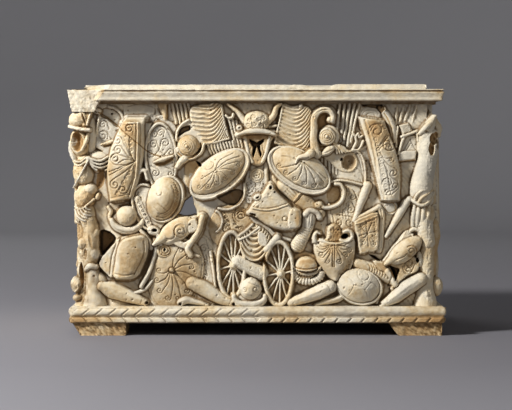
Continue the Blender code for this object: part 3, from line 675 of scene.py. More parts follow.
def horned_helmet(face):
    """The horned helmet over its opening, with curls on the crown."""
    face.plate(ring([(-14, 198), (0, 201), (14, 198), (17, 176), (-17, 176)]), 7, tone=GREY)
    mask = face.plate(ring([(-13.5, 172), (-12.5, 166), (-9.9, 155.6), (-5.6, 144), (0, 141.6),
        (5.3, 143), (9.8, 152), (13.2, 164.5), (14, 172)]), 13.5, 0, 2.2, TAN)
    for side in (-1, 1):
        face.bar(curve([(side * 12.4, 171), (side * 10.4, 161), (side * 8.2, 152), (side * 5, 145)]),
            1.7, 14.8, PALE)
    face.bore([(-8.2, 168.6), (-3, 166.4), (-0.5, 165), (2, 166.4), (7, 168.8), (6.6, 165),
        (3.4, 161.5), (3.6, 157), (4.8, 153), (3.4, 149), (-0.5, 160), (-3.8, 148.8), (-5.4, 152),
        (-4.4, 160), (-8.0, 165.4)], 11)
    face.line(mask, curve([(5, 165), (5.6, 158), (7, 154), (5, 149)]), 0.6, 1.0)
    for side, tips in ((-1, [(-12.5, 186), (-16.5, 191.5), (-20, 196), (-25, 199.5), (-29.5, 203)]),
            (1, [(11, 185.5), (16, 190.5), (18.2, 196), (19.5, 200), (23.2, 203.5)])):
        horn = curve(tips, 5)
        face.bar(horn, np.linspace(3.0, 1.0 if side < 0 else 1.9, len(horn)), 15)
    face.line(0, curve([(-15.5, 195), (-20, 199), (-25, 202.5)]), 0.7, 1.8, OCHRE)
    face.oval((-18, 179.2), (2.9, 2.7), 16, 1.2, tone=PALE)
    face.bore(loop((-17.8, 179.2), (1.2, 1.1), 8), 5)
    face.bar([(12, 180.5), (19, 181.5)], 1.1, 13, PALE)
    dome = face.oval((-0.6, 185.5), (13.2, 10.5), 20, 8, ball=True)
    for u, v, way in ((-7.5, 186.5, 1), (-3.5, 190.5, -1), (1.5, 187, 1), (6.5, 189, -1),
            (9, 183.5, -1), (-9, 181.5, 1), (-2.5, 182.5, -1), (4, 182, 1)):
        face.scrolls(dome, ([(u + 2.4 * way, v - 2.5), (u + 2.2 * way, v + 0.5)], (u, v), way),
            width=0.6, depth=1.2)
    rim = curve([(-19.3, 172.4), (-10, 175.3), (-0.8, 176.2), (9, 175.4), (17.8, 172.6)])
    face.bar(rim, 1.0 + 1.6 * np.sin(np.linspace(0, math.pi, len(rim))) ** 0.7, 21, PALE, flat=0.4)
    face.line(0, rim + (0, 2.4), 0.6, 1.2)
    # Painted shadow under the brim.
    face.stain((0, 171), (12, 2.6), OCHRE)


def upper_right_flag(face):
    """The right standard's cloth, its folds hanging in bows."""
    form = face.plate(ring([(25.9, 202.5), (34, 201), (44, 201.5), (54, 197), (54, 176), (50, 157.5),
        (34, 160), (17.8, 164.4), (20.5, 180)]), 12.5)
    face.ripple(form, lambda u, v: (v - np.where(u > 38, 12 * ((u - 38) / 14) ** 2,
        7 * np.abs((38 - u) / 16) ** 1.5) + 0.8 * value_noise(u / 6, v / 6, 6)) / 4.2, 0.95,
        sharp=True)
    face.bar([(26, 202), (22, 184), (17.9, 165)], 0.8, 13, PALE)
    face.bar(curve([(17.9, 164.2), (34, 161), (50, 157.5)]), 0.7, 13, TAN)
    face.oval((43.5, 201.5), (2, 2), 15, 1, tone=PALE)
    for k in range(5):
        start = 41 + 2.6 * k, 160 - 0.3 * k
        face.bar([start, (start[0] - 0.6, start[1] - 5)], 0.8, 11, TAN, edge=0.5)


def swan_crest(face):
    """The helmet crest shaped as a swan's neck, its disc, flap and hair, and spears leaning behind."""
    for top, foot in (((82.8, 203), (80.3, 177)), ((87.8, 203), (85.3, 174.5)), ((92.8, 203),
            (87.8, 168)), ((97.8, 203), (90.9, 161)), ((102.8, 203), (94, 165))):
        face.bar([top, foot], 1.25, 10, PALE)
    for k in range(5):
        face.bar([(65 + 3.7 * k, 151 - 1.5 * k), (65.5 + 3.6 * k, 127 + 1.5 * k)], 1.35, 9, PALE)
    face.plate(ring([(56, 160), (66, 166), (80, 163), (93, 156), (99, 148), (97, 136), (84, 136),
        (70, 147)]), 10)
    for points in ([(96, 175), (98.5, 171), (101.5, 173.5)], [(101.5, 173.5), (103, 170), (106, 171)],
            [(99, 170), (99.5, 165), (97, 159.5)], [(96, 157.5), (101, 157), (104, 160), (107, 166)]):
        face.bar(curve(points), 1.1, 11.5, PALE)
    face.plate(ring([(59, 180), (60, 191), (66, 194.5), (73, 191), (76, 184), (70, 178)]), 8,
        tone=OCHRE)
    line = curve([(60.4, 152.5), (58, 159), (56.6, 168), (57, 179), (57.2, 188), (60.5, 194.6),
        (66.5, 197.2), (72.6, 195.8), (76, 191), (75.6, 186.5)], 5)
    crest = face.bar(line, np.interp(np.linspace(0, 1, len(line)), (0, 0.25, 0.6, 1),
        (4.0, 3.4, 2.7, 2.2)), 19, flat=0.15)
    for off in (-1.1, 0.3, 1.5):
        face.line(crest, line[4:-5] + (off, 0.1 * off), 0.45, 0.6)
    face.oval((72.8, 187.4), (2.7, 2.8), 18.5, 1.5, tone=TAN)
    face.oval((72, 171), (10.5, 11), 14, 2.5)
    disc = face.oval((70, 170.8), (8.2, 8.8), 18.5, 2.6)
    face.rings(disc, (70, 170.5), (2.4, 4.4, 6.4), 0.6, 0.9, TAN)
    face.drill((70, 170.5), 1.2, -1.3)
    face.line(0, curve([(62, 160.5), (68, 160), (74, 161.5), (80, 159)]), 0.7, 1.4, OCHRE)
    face.plate(ring([(61.6, 150.8), (66, 156), (71, 160.4), (77, 161), (77, 156.6), (71, 152)]), 17,
        0, 3, CREAM)
    face.line(0, curve([(63, 152.6), (69, 154.4), (76, 157.6)]), 0.5, 0.7)
    for k in range(6):
        hair = curve([(77 + 1.9 * k, 163.4 - 0.7 * k), (79.4 + 2.3 * k, 158.4 - 0.5 * k),
            (80.4 + 2.7 * k, 153.4 + 0.4 * k)])
        face.bar(hair, np.linspace(1.2, 0.7, len(hair)), 14 - 0.6 * (k % 3), (CREAM, TAN)[k % 2],
            edge=0.5)
    face.scrolls(0, ([(80, 168), (84, 170)], (82.5, 166.5), -1), width=0.6)


def right_top(face):
    """Horn, crossed shafts and the feathered arrow beside the right corner."""
    hump = face.plate(ring([(103.5, 190), (105.5, 198), (112, 202.5), (120, 201.5), (124.5, 194),
        (120, 187)]), 8, 0, 2.0, GREY)
    face.bore([(104, 204), (126, 204), (129, 198), (125, 193), (119, 199), (106, 200.5)], 2.5)
    for radius in (3.5, 7):
        face.line(hump, arc((114, 191), (radius * 1.2, radius), 10, 170), 0.55, 0.6)
    for top, foot in (((141, 200), (139, 176)), ((147.5, 201), (144, 186)), ((154, 202), (149, 187)),
            ((160.5, 203), (156, 184))):
        face.bar([top, foot], 1.2, (6.6, 7.6), PALE)
    face.plate([(145, 170), (160, 172), (160.5, 156), (144, 155)], 9, tone=PALE)
    face.lines(0, (((147, 156.5), (154, 168)), ((154, 168), (159.5, 157)), ((150.5, 157),
        (154.5, 163.5))), 0.5, 0.9)
    face.plate([(143, 155.5), (160, 156.5), (159.4, 147), (141.5, 145.5)], 11.5, tone=PALE)
    face.line(0, [(143, 145.5), (158.5, 147)], 0.8, 2.0, OCHRE)
    for k in range(4):
        face.line(0, curve([(153 + 2 * k, 145 - k), (156 + 1.5 * k, 141 - k), (159 + k, 139.5 - k)]),
            0.5, 0.8)
    horn = curve([(123, 199.5), (129, 194), (134, 186), (136.5, 177), (137.5, 166)], 4)
    face.bar(horn, np.interp(np.linspace(0, 1, len(horn)), (0, 0.3, 0.75, 1), (1.8, 3.8, 3.8, 2.2)),
        12, GREY)
    face.line(0, horn[4:] + (-1.2, -0.4), 0.7, 1.3, TAN)
    face.oval((126.8, 198.2), (2.8, 2.8), 13.5, 1.5, tone=TAN)
    face.bar(curve([(141.5, 180), (140, 168), (139.8, 160)]), 1.0, 11, PALE)
    ladder = face.plate([(143.5, 181.5), (152, 183.8), (156, 176.5), (146.5, 172.5)], 12, tone=PALE)
    for k in range(7):
        face.line(ladder, [(144.8 + 1.5 * k, 182 - 0.2 * k), (147.2 + 1.45 * k, 173.2 + 0.4 * k)],
            0.42, 1.0)
    face.bar([(145.5, 170.3), (161, 176)], 1.3, 13, PALE)
    face.bar([(148, 171), (141.8, 153)], 1.2, 12.5, PALE)
    face.bar([(160.5, 176), (162, 166)], 1.2, 12, PALE)


def left_long_shields(face):
    """The tall half-cylinder shield on the left and the oval one beside it."""
    face.plate([(-114, 184), (-107, 184), (-108, 164), (-115, 164)], 13, tone=PALE)
    oval = face.oval((-96.8, 150), (16.4, 34.5), 12.5, 1, 3, tone=SILVER)
    face.bar(arc((-96.8, 150), (15.6, 33.7), 60, 250, 40, 3), 1.3, 14.3, PALE)
    face.line(oval, loop((-96.8, 150), (13.6, 31.8), 60, 3), 0.6, 0.9)
    face.scrolls(oval, ([(-107, 174), (-104, 176.5)], (-103.7, 172.8), -1), ([(-94, 170.5),
        (-93.5, 176)], (-97, 174), 1), ([(-99, 158), (-101, 166)], (-104, 162.6), 1), ([(-98.5, 158),
        (-96, 167)], (-92.6, 164), -1), ([(-99, 157), (-104, 151), (-108, 150)], (-107.5, 154), -1),
        ([(-94, 152), (-89.5, 157)], (-86.6, 154.8), -1), ([(-107, 141), (-100, 138)],
        (-102.4, 134.2), -1), ([(-98, 156), (-93, 152.4)], (-95.4, 150), -1), ([(-92, 140),
        (-84, 136)], (-87, 133.5), -1))
    face.bar([(-103.5, 144.6), (-95, 147.5), (-84.5, 151)], (0.7, 2.1, 0.8), 17, PALE)
    face.line(0, curve([(-101, 142.3), (-93.5, 143.5), (-86, 148.2)]), 1.5, 2.4, OCHRE)
    face.bar(curve([(-120.5, 131), (-116.5, 136), (-113, 135), (-110.5, 128)]),
        (1.2,) * 6 + (2.6,) * 7 + (1.5,) * 6, 16.5, PALE)
    face.bore(loop((-115.2, 134), (1.3, 1.0), 8), 6)
    # The half-cylinder: its end above, its thick side on the right.
    face.plate([(-136, 184), (-131, 189.6), (-112.4, 189.6), (-113.5, 183)], 19.4, tone=HONEY)
    form = long_shield(face, [(-135, 185), (-141, 172), (-147.4, 156), (-150.6, 138), (-150, 122),
        (-147.8, 105.3)], [(-114, 185), (-113.6, 168), (-114.4, 152), (-117.5, 135), (-121.5, 120),
        (-126.4, 108.8)], 21, STRAW, (0, 0.05))
    edge = curve([(-121, 184.5), (-121.3, 166), (-122, 148), (-123.6, 130), (-129, 110)])
    face.line(form, edge, 0.7, 1.3)
    face.line(form, edge + (1.6, 0), 0.9, -0.8)
    face.line(form, curve([(-117, 184), (-117, 164), (-118.3, 146), (-121, 128)]), 0.6, 0.7)
    face.line(form, [(-147.4, 108.6), (-128, 112.8)], 0.7, 0.9)
    face.line(form, [(-135, 182), (-121, 183)], 0.7, 1.0)
    face.stain((-128, 179), (9, 7), OCHRE, amount=0.6)
    face.stain((-139, 152), (8, 20), GREY, 5, 0.6)
    # Darkens the lower part of the tall shield.
    face.darken_patch((-138, 124), (14, 20), 8)
    focus = (-123.2, 145.6)
    face.scrolls(form, ([(-133, 166), (-136.5, 170)], (-139.4, 166.4), 1), ([focus, (-131, 153),
        (-135.8, 160.5)], (-139.2, 156.8), 1), ([focus, (-131, 150), (-138, 152.2)], (-142, 148.6),
        1), ([(-124, 144.6), (-131, 142), (-142, 142.5), (-147, 146)], (-142.6, 148.4), -1),
        ([(-123.6, 143.5), (-131, 136.5), (-141, 130), (-146.5, 126)], (-143, 122.3), 1),
        ([(-124, 141), (-125.5, 128), (-130, 115.4)], (-134.6, 117.6), -1), ([(-124, 175),
        (-124, 181.5)], (-127.6, 178.6), 1), ([(-131, 176), (-131.5, 181)], (-128.5, 178.3), -1),
        depth=1.3)
    for end in ((-136.5, 169.6), (-134.2, 170.6)):
        face.line(form, [focus, end], 0.5, 1.0)
    for middle, end in (((-132, 147.5), (-139, 144)), ((-135, 140.5), (-148.5, 135)), ((-136, 138.4),
            (-148.6, 131.5))):
        face.line(form, curve([focus, middle, end]), 0.55, 1.1)
    running_scrolls(face, form, curve([(-126.6, 169), (-126, 150)]), 4, 1.5, 1)
    running_scrolls(face, form, curve([(-126, 138), (-131, 130), (-138, 117.5), (-142, 111)]), 7, 1.4,
        1)


def great_left_shield(face):
    """The great domed shield left of the middle, with its palmette."""
    form = domed_shield(face, (-37.8, 132.8), (35, 18.8), 23, 7.5, 37, (-1.6, 2.0), 0.56)
    fan(face, form, (-42, 136.6), ((-58, 119.9), (-49.4, 120.6), (-41, 124), (-32.6, 128.6),
        (-25, 134.6), (-19.6, 142.6)), width=0.5, depth=0.9)
    for end, bend in (((-18, 150.5), (-31, 146)), ((-24, 154), (-37, 147)), ((-56, 128),
            (-47, 133.5))):
        face.line(form, curve([(-42, 136.6), bend, end]), 0.55, 1.0)
    face.line(form, arc((-47.8, 141.3), (5.0, 3.4), 170, 400, 20, 37), 0.6, 1.0)
    face.drill((-41.9, 136), 1.1, -1.3)
    face.stain((-28, 125), (14, 6), TAN, 37, 0.7)


def great_right_shield(face):
    """Its match on the right, with a tapering piece lying over its rim."""
    form = domed_shield(face, (42.2, 136.6), (35, 19.6), 23, 7.5, -31, (1.4, 2.2), 0.52)
    fan(face, form, (46, 146), ((22, 141.6), (29, 134.4), (38, 128.6), (47, 124), (56.4, 121.4),
        (64.6, 123.2)))
    for end, bend in (((25, 151), (33, 150)), ((69.5, 128.5), (58, 137))):
        face.line(form, curve([(44, 146), bend, end]), 0.55, 1.0)
    face.stain((52, 130), (16, 8), GREY, -31, 0.4)
    ridge = curve([(54, 154), (49, 150.6), (42, 149.3), (38.6, 144)])
    face.bar(ridge, np.linspace(4.2, 1.0, len(ridge)), 23.3)
    face.line(0, ridge[4:] + (0.4, -1.8), 0.7, 1.8)


def round_left_shield(face):
    """The domed shield at the left and the flat one under it."""
    under = face.oval((-109.5, 99), (15.5, 25), 13, 2, 20, tone=PALE)
    face.bar(arc((-109.5, 99), (14.8, 24.3), 60, 250, 30, 20), 1.1, 14.6)
    face.line(0, arc((-109.5, 99), (12.8, 22.3), 60, 250, 30, 20), 0.6, 1.0)
    running_scrolls(face, under, curve([(-119, 112), (-117, 98), (-110, 84)]), 4, 2.4, 1)
    form = domed_shield(face, (-92.6, 107.6), (18.2, 24.4), 23.6, 9.5, -20, (-1.6, 0.4), HONEY, 1.9)
    for reach in (13.2, 9.4):
        face.line(form, arc((-93.5, 108), (reach, reach + 6), -95, 75, 40, -20), 0.55, 1.0, TAN)
    zigzag = arc((-93.5, 108), (11.3, 17.3), -90, 70, 26, -20)
    zigzag[1::2] += (1.5, 0.6)
    face.line(form, zigzag, 0.5, 1.0, TAN)
    face.line(form, arc((-98.5, 114), (2.8, 2.8), -170, 20, 16), 0.6, 0.9)
    face.lines(form, (((-104, 100), (-96, 93)), ((-100, 104), (-90, 96)), ((-96, 90), (-88, 88))),
        0.5, 0.5, TAN)
    # Painted light on the dome's upper left, painted shade on its lower left and lower right.
    face.stain((-98, 118), (9, 9), CREAM, -20)
    face.darken_patch((-104, 96), (10, 14), -20)
    face.stain((-86, 96), (8, 9), OCHRE, -20, 0.6)


def middle_strip(face):
    """Under and between the great shields: half-moon shields, tree trunk, disc and scaled cloth."""
    face.plate([(-62, 111), (-39, 104), (-35, 85), (-57, 85)], 7, tone=GREY)
    trunk = face.bar([(-4, 150), (-4, 117)], (5.5, 6.5), 8, PALE)
    for k in range(3):
        face.line(trunk, [(-6.5 + 2.5 * k, 150), (-6.5 + 2.5 * k, 142)], 0.5, 0.7)
    moon = face.oval((-25, 79), (24, 23), 9.5, 1.5, tone=STRAW)
    # Painted shade over the half-moon shield.
    face.darken_patch((-26, 84), (22, 18), 0, 0.5)
    # The basin is toned brown as painted shade.
    basin = face.oval((-31, 117), (21, 22), 5, 0, tone=OCHRE)
    face.bore(ring([(-42, 110), (-32, 102.5), (-22, 100.5), (-15.5, 105), (-13.5, 115), (-22, 118),
        (-34, 114)]), 2.5)
    face.line(basin, curve([(-48, 122), (-36, 112), (-22, 108)]), 0.8, 0.5)
    face.bar(arc((-32, 117.5), (19.5, 20.5), 250, 375, 20), 1.3, 11.5, PALE)
    face.bar(arc((-47, 85), (12, 12), -60, 60), 1.3, 11, PALE)
    face.scrolls(0, ([(-22, 97), (-22.5, 91), (-18, 95)], (-16.2, 90.7), -1), ([(-8, 96), (-11, 90)],
        (-16.2, 90.7), 1), ([(-33, 90), (-28, 84)], (-30, 78), 1))
    for radius in (6.2, 8.4):
        face.line(moon, arc((-16.2, 90.7), (radius, radius), 30, 250), 0.6, 0.9)
    running_scrolls(face, moon, curve([(-36, 96), (-30, 86), (-28, 76)]), 5, 1.8)
    running_scrolls(face, moon, curve([(-24, 84), (-19, 78), (-14, 79)]), 4, 1.6)
    scaled = face.plate(ring([(-9, 136), (7, 136), (8, 118), (2, 107), (-8, 103), (-13, 112)], 4),
        8.5, tone=GREY)
    face.ripple(scaled, lambda u, v: value_noise(u / 1.6, v / 1.6, 31) * 0.5, 0.7)
    disc = face.oval((-0.5, 131.5), (7.2, 7.2), 11, 1.2)
    face.rings(disc, (-0.5, 131.5), (5.6, 3.0), 0.6, 0.9)
    star(face, disc, (-0.5, 131.5), 3.4)
    face.bar([(9.5, 152), (9, 124)], (3.0, 2.4), 9.5, PALE)
    face.line(0, [(12.3, 152), (11.5, 123)], 0.7, 3.5)
    face.bar([(17, 130), (21, 116)], (2.6, 3.0), 8)
    face.line(0, [(22.5, 128), (22, 113)], 0.8, 3.5)


def horse_mask(face):
    """The horse's frontlet, with its rings, raised band and chipped end."""
    body = ring([(10.5, 122), (6, 114), (-2, 106), (-6, 101), (-8.5, 94.5), (0, 88.5), (14, 80),
        (28, 76.5), (41, 79), (44, 88), (43, 97), (35, 99), (31, 104), (22, 112), (14, 121)])
    form = face.plate(body, 18.5, edge=3.5, tilt=(0.02, 0.06))
    face.stain((14, 90), (16, 6), TAN, -20, 0.6)
    for end in ((9, 113), (14.5, 110), (20, 106)):
        face.line(form, curve([(-4, 100), ((end[0] - 4) / 2, 108), end]), 0.5, 0.35)
    band = curve([(-6, 100.5), (3.5, 98.6), (11.2, 98.4), (20, 100), (31, 104)], 6)
    face.line(form, band, 0.55, 1.0)
    face.line(form, band - (0, 1.5), 0.8, -0.8)
    face.line(form, band - (0, 3.0), 0.5, 0.7)
    for at, size, hole, turn in (((0.4, 109.6), (4.2, 3.4), (1.9, 1.0), 25), ((13.4, 119.4),
            (3.2, 4.0), (1.6, 2.0), 15)):
        face.oval(at, size, 19.5, 1.2, turn)
        face.bore(loop(at, hole, 12, turn), 9)
    face.bore(loop((17.5, 114.5), 1.1, 8), 7)
    face.plate(ring([(34, 97.5), (41.5, 96), (43.4, 88), (42.5, 80), (32, 78.5), (31, 88)]), 20.5, 0,
        2.0, CREAM, (-0.08, 0))
    face.stain((41, 87), (3, 10), OCHRE, amount=0.7)
    face.line(0, loop((27.7, 88), 2.4, 12), 0.5, 1.0)
    face.drill((27.7, 88), 1.2, -0.9)
    for at in ((20, 84), (24, 81), (33, 84), (17, 91)):
        face.drill(at, 0.9, 0.8)
    face.bar(curve([(-8.5, 94), (-6, 96), (-2, 98)]), 2.4, 17)
    # The chip is toned brown as painted shade.
    cut_out(face, [(-7.5, 94), (-2, 93), (-1, 90.5), (-5, 91.5)], 8, OCHRE)
    for k in range(5):
        face.bar(curve([(-6 + 3 * k, 89 - 1.5 * k), (4 + 4 * k, 78 - 2 * k), (13 + 5 * k, 70 - k)]),
            1.7, 11 - 0.5 * k, GREY)


def quiver_and_pelta(face):
    """The sheaf and quiver right of the mask, the half-moon shield and the small crested helmet."""
    back = rimmed_oval(face, (93, 120), (16.5, 37), 9, 1.5, 0, PALE)
    face.bar(curve([(94, 156), (103, 154), (108, 144), (109.3, 128), (107.4, 112), (100, 88)]), 0.9,
        10.5, PALE)
    face.oval((91, 145), (10.5, 11), 11.5, 2.5)
    face.cast((92.4, 144.6, 13.5), (8.0, 8.6, 11.5), 0, BUFF, cut=True)
    # Painted shade in the basin.
    face.darken_patch((92, 145), (7, 7), 0, 0.5)
    face.bore(loop((84.8, 147.6), (1.5, 2.0), 10), 7)
    for k in range(4):
        face.line(back, curve([(99, 140 - 9 * k), (104, 136 - 9 * k), (106, 131 - 9 * k)]), 0.6, 0.7)
    moon = face.oval((88, 92), (17, 34), 10.5, 2)
    face.line(moon, loop((88, 92), (14.4, 31), 60), 0.7, 0.8)
    face.bar(curve([(74, 125), (84, 126.5), (96, 124.5), (105, 122)]), 1.1, 13, PALE)
    cut_out(face, loop((77.5, 111.5), (7.2, 11), 30), 5, TAN)
    face.bar(curve([(79, 123), (84.5, 121.5), (87.6, 114.5), (85, 106), (78, 100.5), (70, 98.6),
        (64, 100.5)]), 1.7, 15, PALE)
    running_scrolls(face, moon, curve([(91, 121), (93, 108), (88, 96), (80, 90)]), 5, 1.8, 1)
    face.scrolls(moon, ([(80, 92), (92, 90)], (93, 84), -1), ([(95, 105), (98, 99)], (94, 97), -1),
        ([(76, 92), (78, 82)], (82, 84), 1), ([(97, 118), (99, 112)], (96, 110), -1))
    for k in range(4):
        face.line(moon, curve([(86 + 2 * k, 108 - 2 * k), (83 + 3 * k, 98), (84 + 3 * k, 88)]), 0.5,
            0.7)
    quiver = face.bar([(28, 122), (44, 108), (62, 93)], (8.5, 8, 6.5), 14, HONEY)
    # Darkens the quiver towards brown.
    face.darken_patch((50, 104), (16, 8), -42)
    for k in range(5):
        face.line(quiver, [(26 + 2.2 * k, 113 + 2.4 * k), (33 + 2.2 * k, 105.5 + 2.4 * k)], 0.6, 1.0)
    face.line(quiver, [(35, 103), (46, 117)], 0.8, -1.2)
    face.line(quiver, [(37, 102), (48, 115)], 0.6, 0.9)
    stub = face.bar([(53, 92), (51, 82)], (7.0, 6.0), 16, PALE, flat=0.2)
    face.bar(curve([(48, 92), (53, 96.5), (60, 94), (63, 89)]), 2.6, 17.5, PALE)
    for k in range(4):
        face.line(stub, [(48 + 2.6 * k, 91), (47.5 + 2.4 * k, 81)], 0.5, 0.7)
    ribs = face.bar([(51.5, 80), (41, 61)], (5.2, 7.0), 15.5, flat=0.2)
    face.ripple(ribs, lambda u, v: ((u - 41) * 0.48 + (v - 61) * 0.88) / 2.6, 0.55)
    face.plate(ring([(57, 86), (64, 84), (66, 74), (58, 70), (53, 74)]), 8, tone=TAN)
    face.oval((62, 101.5), (4.4, 3.6), 16, 2)
    for at in ((60, 102.6), (63.5, 100), (65.8, 103)):
        face.bore(loop(at, 0.8, 8), 4)
    face.stain((62, 101.5), (5, 4), OCHRE, amount=0.6)


def shields_right(face):
    """The ochre half-cylinder shield and the box-shaped shield under it."""
    face.bar([(96, 153), (112, 162)], 1.3, 9, PALE)
    form = long_shield(face, [(102, 190), (110, 166), (117, 140), (125, 106.5)], [(127.5, 186),
        (134.5, 168), (140.5, 150), (143.5, 132), (143, 107)], 20, CREAM)
    face.line(form, curve([(107.5, 187), (114, 166), (118.5, 145), (121, 128), (127.5, 108)]), 0.8,
        1.2)
    face.line(form, curve([(110, 186), (116.5, 166), (121, 145), (123.5, 128), (129.5, 109)]), 0.7,
        -0.8)
    face.tone[(face.owner == form) & (face.across < np.interp(face.up, (107, 190),
        (127, 107)))] = PALE
    face.stain((118, 180), (10, 9), OCHRE, -15, 0.7)
    face.stain((134, 160), (7, 22), TAN, 12)
    face.stain((128, 132), (7, 17), GREY, 10, 0.7)
    face.scrolls(form, ([(124, 183), (117, 182), (112, 173)], (119.5, 176.5), -1), ([(121.5, 160),
        (127, 168), (130.5, 172.5)], (131.5, 163), -1), ([(122, 157), (126, 161), (131.4, 163.5)],
        (131.4, 159.4), -1), ([(123, 155), (128, 148.5), (135, 149)], (134.2, 147.4), 1),
        ([(125, 150), (131, 143), (138, 139)], (136.3, 134.5), -1), ([(127, 144), (134, 131),
        (141, 126)], (131.4, 123.6), -1), ([(130, 136), (133, 118), (128, 111)], (131.4, 113.8), -1),
        ([(135, 112), (140, 117)], (138.4, 120.8), 1))
    for k in range(11):
        at = 119 + 1.1 * k, 168 - 5.2 * k
        face.line(form, arc(at, (1.4, 1.7), 20, 320, 10), 0.5, 0.7)
    for k in range(3):
        face.line(form, curve([(121 + 2.4 * k, 158 + 2 * k), (125 + 2 * k, 164 + 2 * k),
            (131 + k, 169 + 2 * k)]), 0.55, 0.7)
    box = face.plate(ring([(98, 85), (109, 90.5), (121, 94), (122, 76), (121, 57), (112, 55),
        (104, 53), (101, 69)], 2), 17, tone=TAN, tilt=(-0.12, 0.0))
    running_scrolls(face, box, curve([(102, 80), (111, 86), (119, 89)]), 4, 1.5, 1, 0.55, 0.6)
    running_scrolls(face, box, curve([(119, 84), (119.5, 72), (118, 60)]), 4, 1.5, 1, 0.55, 0.6)
    running_scrolls(face, box, curve([(103, 78), (104, 68), (106, 58)]), 4, 1.5, -1, 0.55, 0.6)
    centre = (110.5, 73)
    for angle in (10, 55, 100, 145):
        spoke = arc(centre, (8.5, 13), angle, angle + 180, 1)
        face.line(box, spoke, 0.6, 0.8)
    for u, v, way in ((105, 81, 1), (116, 83, -1), (106.5, 64, -1), (116.5, 63, 1)):
        face.scrolls(box, ([(centre[0], centre[1]), (u, v - 3 * way)], (u, v), way), width=0.55,
            depth=0.6)
    face.line(box, [(99, 82.5), (121, 91)], 0.7, -0.9)


def right_middle(face):
    """Folded spear, torc, horn, quiver and arrows left of the right corner."""
    torc = face.oval((134.5, 99), (7.2, 7.2), 9, 0.8, tone=GREY)
    face.line(torc, arc((134.5, 99), (5.4, 5.4), 160, 460, 30), 0.7, 1.0, TAN)
    face.bar([(111, 121), (104, 103), (98, 86)], (4.6, 3.6, 2.0), 14, PALE)
    face.bar([(100, 88), (122, 99)], 2.0, 14)
    spear = face.bar(curve([(123, 99), (125.5, 92), (124.5, 74), (123, 56)], 4), 3.0, 13.5)
    face.line(spear, curve([(124.5, 97), (126, 88), (125.5, 74), (124.5, 58)]), 0.6, 1.0)
    face.bar([(150, 104), (142, 90), (130, 70)], (4.2, 3.4, 1.6), 14.5, PALE)
    face.line(0, [(153, 101), (134, 70)], 0.8, 2.0)
    quiver = face.bar([(152, 70), (131, 44)], (6.0, 5.0), 12.5, PALE, flat=0.4)
    face.lines(quiver, (((138, 66), (141, 49)), ((133, 54), (146, 56)), ((146, 70), (137, 46))), 0.6,
        0.7)
    for k in range(6):
        face.bar([(145 + 2.4 * k, 66 + 2.2 * k), (150 + 2.2 * k, 75 + 0.6 * k)], 0.7, 12.5, PALE,
            edge=0.4)
    face.bar(arc((158.5, 70), (6.5, 7.5), -70, 120), 1.7, 14, PALE)
    face.drill((157, 71.5), 1.8, -2.0)


def left_bottom(face):
    """The round-crowned helmet, cuirass, bow and straps at the left."""
    face.oval((-131, 84), (17, 12), 10, 1, tone=PALE)
    brim(face, (-131, 91), (16.6, 14), 200, 338, 2.5, 16, PALE, layers=2)
    dome = face.oval((-131.3, 90.7), (10.4, 10.4), 21, 9.5, ball=True)
    face.ripple(dome, lambda u, v: value_noise(u / 2.2, v / 2.2, 9) * 0.3, 0.25)
    face.stain((-129, 87), (7, 5), TAN)
    face.bar(curve([(-150, 99), (-147.5, 95), (-149, 90), (-147, 85)]), 1.7, 12, TAN)
    hollow = ring([(-159, 76), (-147, 73), (-142.5, 66), (-149, 57), (-156, 50), (-160, 58)])
    # The hollow is toned brown as painted shade.
    cut_out(face, hollow, 1.5, OCHRE)
    face.bore(hollow, 5)
    face.plate(ring([(-141.5, 66), (-138.5, 64), (-140, 46), (-146, 29), (-152, 33), (-159.5, 44)]),
        12, tone=PALE, edge=1.5)
    face.line(0, curve([(-142, 64), (-147, 48), (-148.5, 32)]), 0.7, 1.2)
    face.stain((-151, 42), (4, 8), TAN, amount=0.8)
    body = face.plate(ring([(-142.5, 45), (-140.5, 58), (-137, 64.5), (-131.5, 68.5), (-117.5, 71.5),
        (-111.5, 69), (-109.6, 62), (-111, 50), (-115.5, 39), (-121.5, 29.5), (-131.5, 27),
        (-144.5, 29.5)]), 22, 4.5, 2.5, TAN, (0, 0.11), sides=(curve([(-138, 68), (-143, 50),
        (-146, 28)]), curve([(-109, 70), (-110, 52), (-122, 28)])))
    face.line(body, curve([(-113.5, 66), (-113.5, 55), (-117.5, 44), (-124, 32)]), 0.6, 1.0)
    face.line(body, curve([(-143, 33), (-133, 31), (-124, 33.5)]), 0.7, 1.0)
    # A painted highlight down the cuirass's left edge, and painted shade over its face.
    face.stain((-141, 44), (2.5, 16), PALE, -4)
    face.darken_patch((-126, 46), (18, 24), 0, 0.42)
    face.bar(curve([(-101.5, 62), (-103, 52), (-107, 39.5), (-111, 30), (-117, 19.5)], 4), 1.9, 14,
        PALE)
    face.bar(curve([(-106, 25), (-113, 17), (-124, 12.5)], 4), 1.7, 12, PALE)
    face.oval((-104.5, 76), (6.2, 4.6), 17, 1.2, -15, tone=PALE)
    face.bore(loop((-103.5, 76.3), (2.9, 1.9), 12, -10), 8)
    strap = face.bar([(-121, 108), (-114, 94), (-108, 80.5)], 3.2, 14.5, PALE, flat=0.4)
    running_scrolls(face, strap, [(-120, 106), (-108.5, 82)], 6, 1.5)
    face.bar(curve([(-117, 76), (-112, 70), (-108, 64), (-107, 58)], 4), 1.7, 15)
    face.bar(curve([(-100, 72), (-98, 65), (-97, 62)], 4), 2.0, 16, PALE)


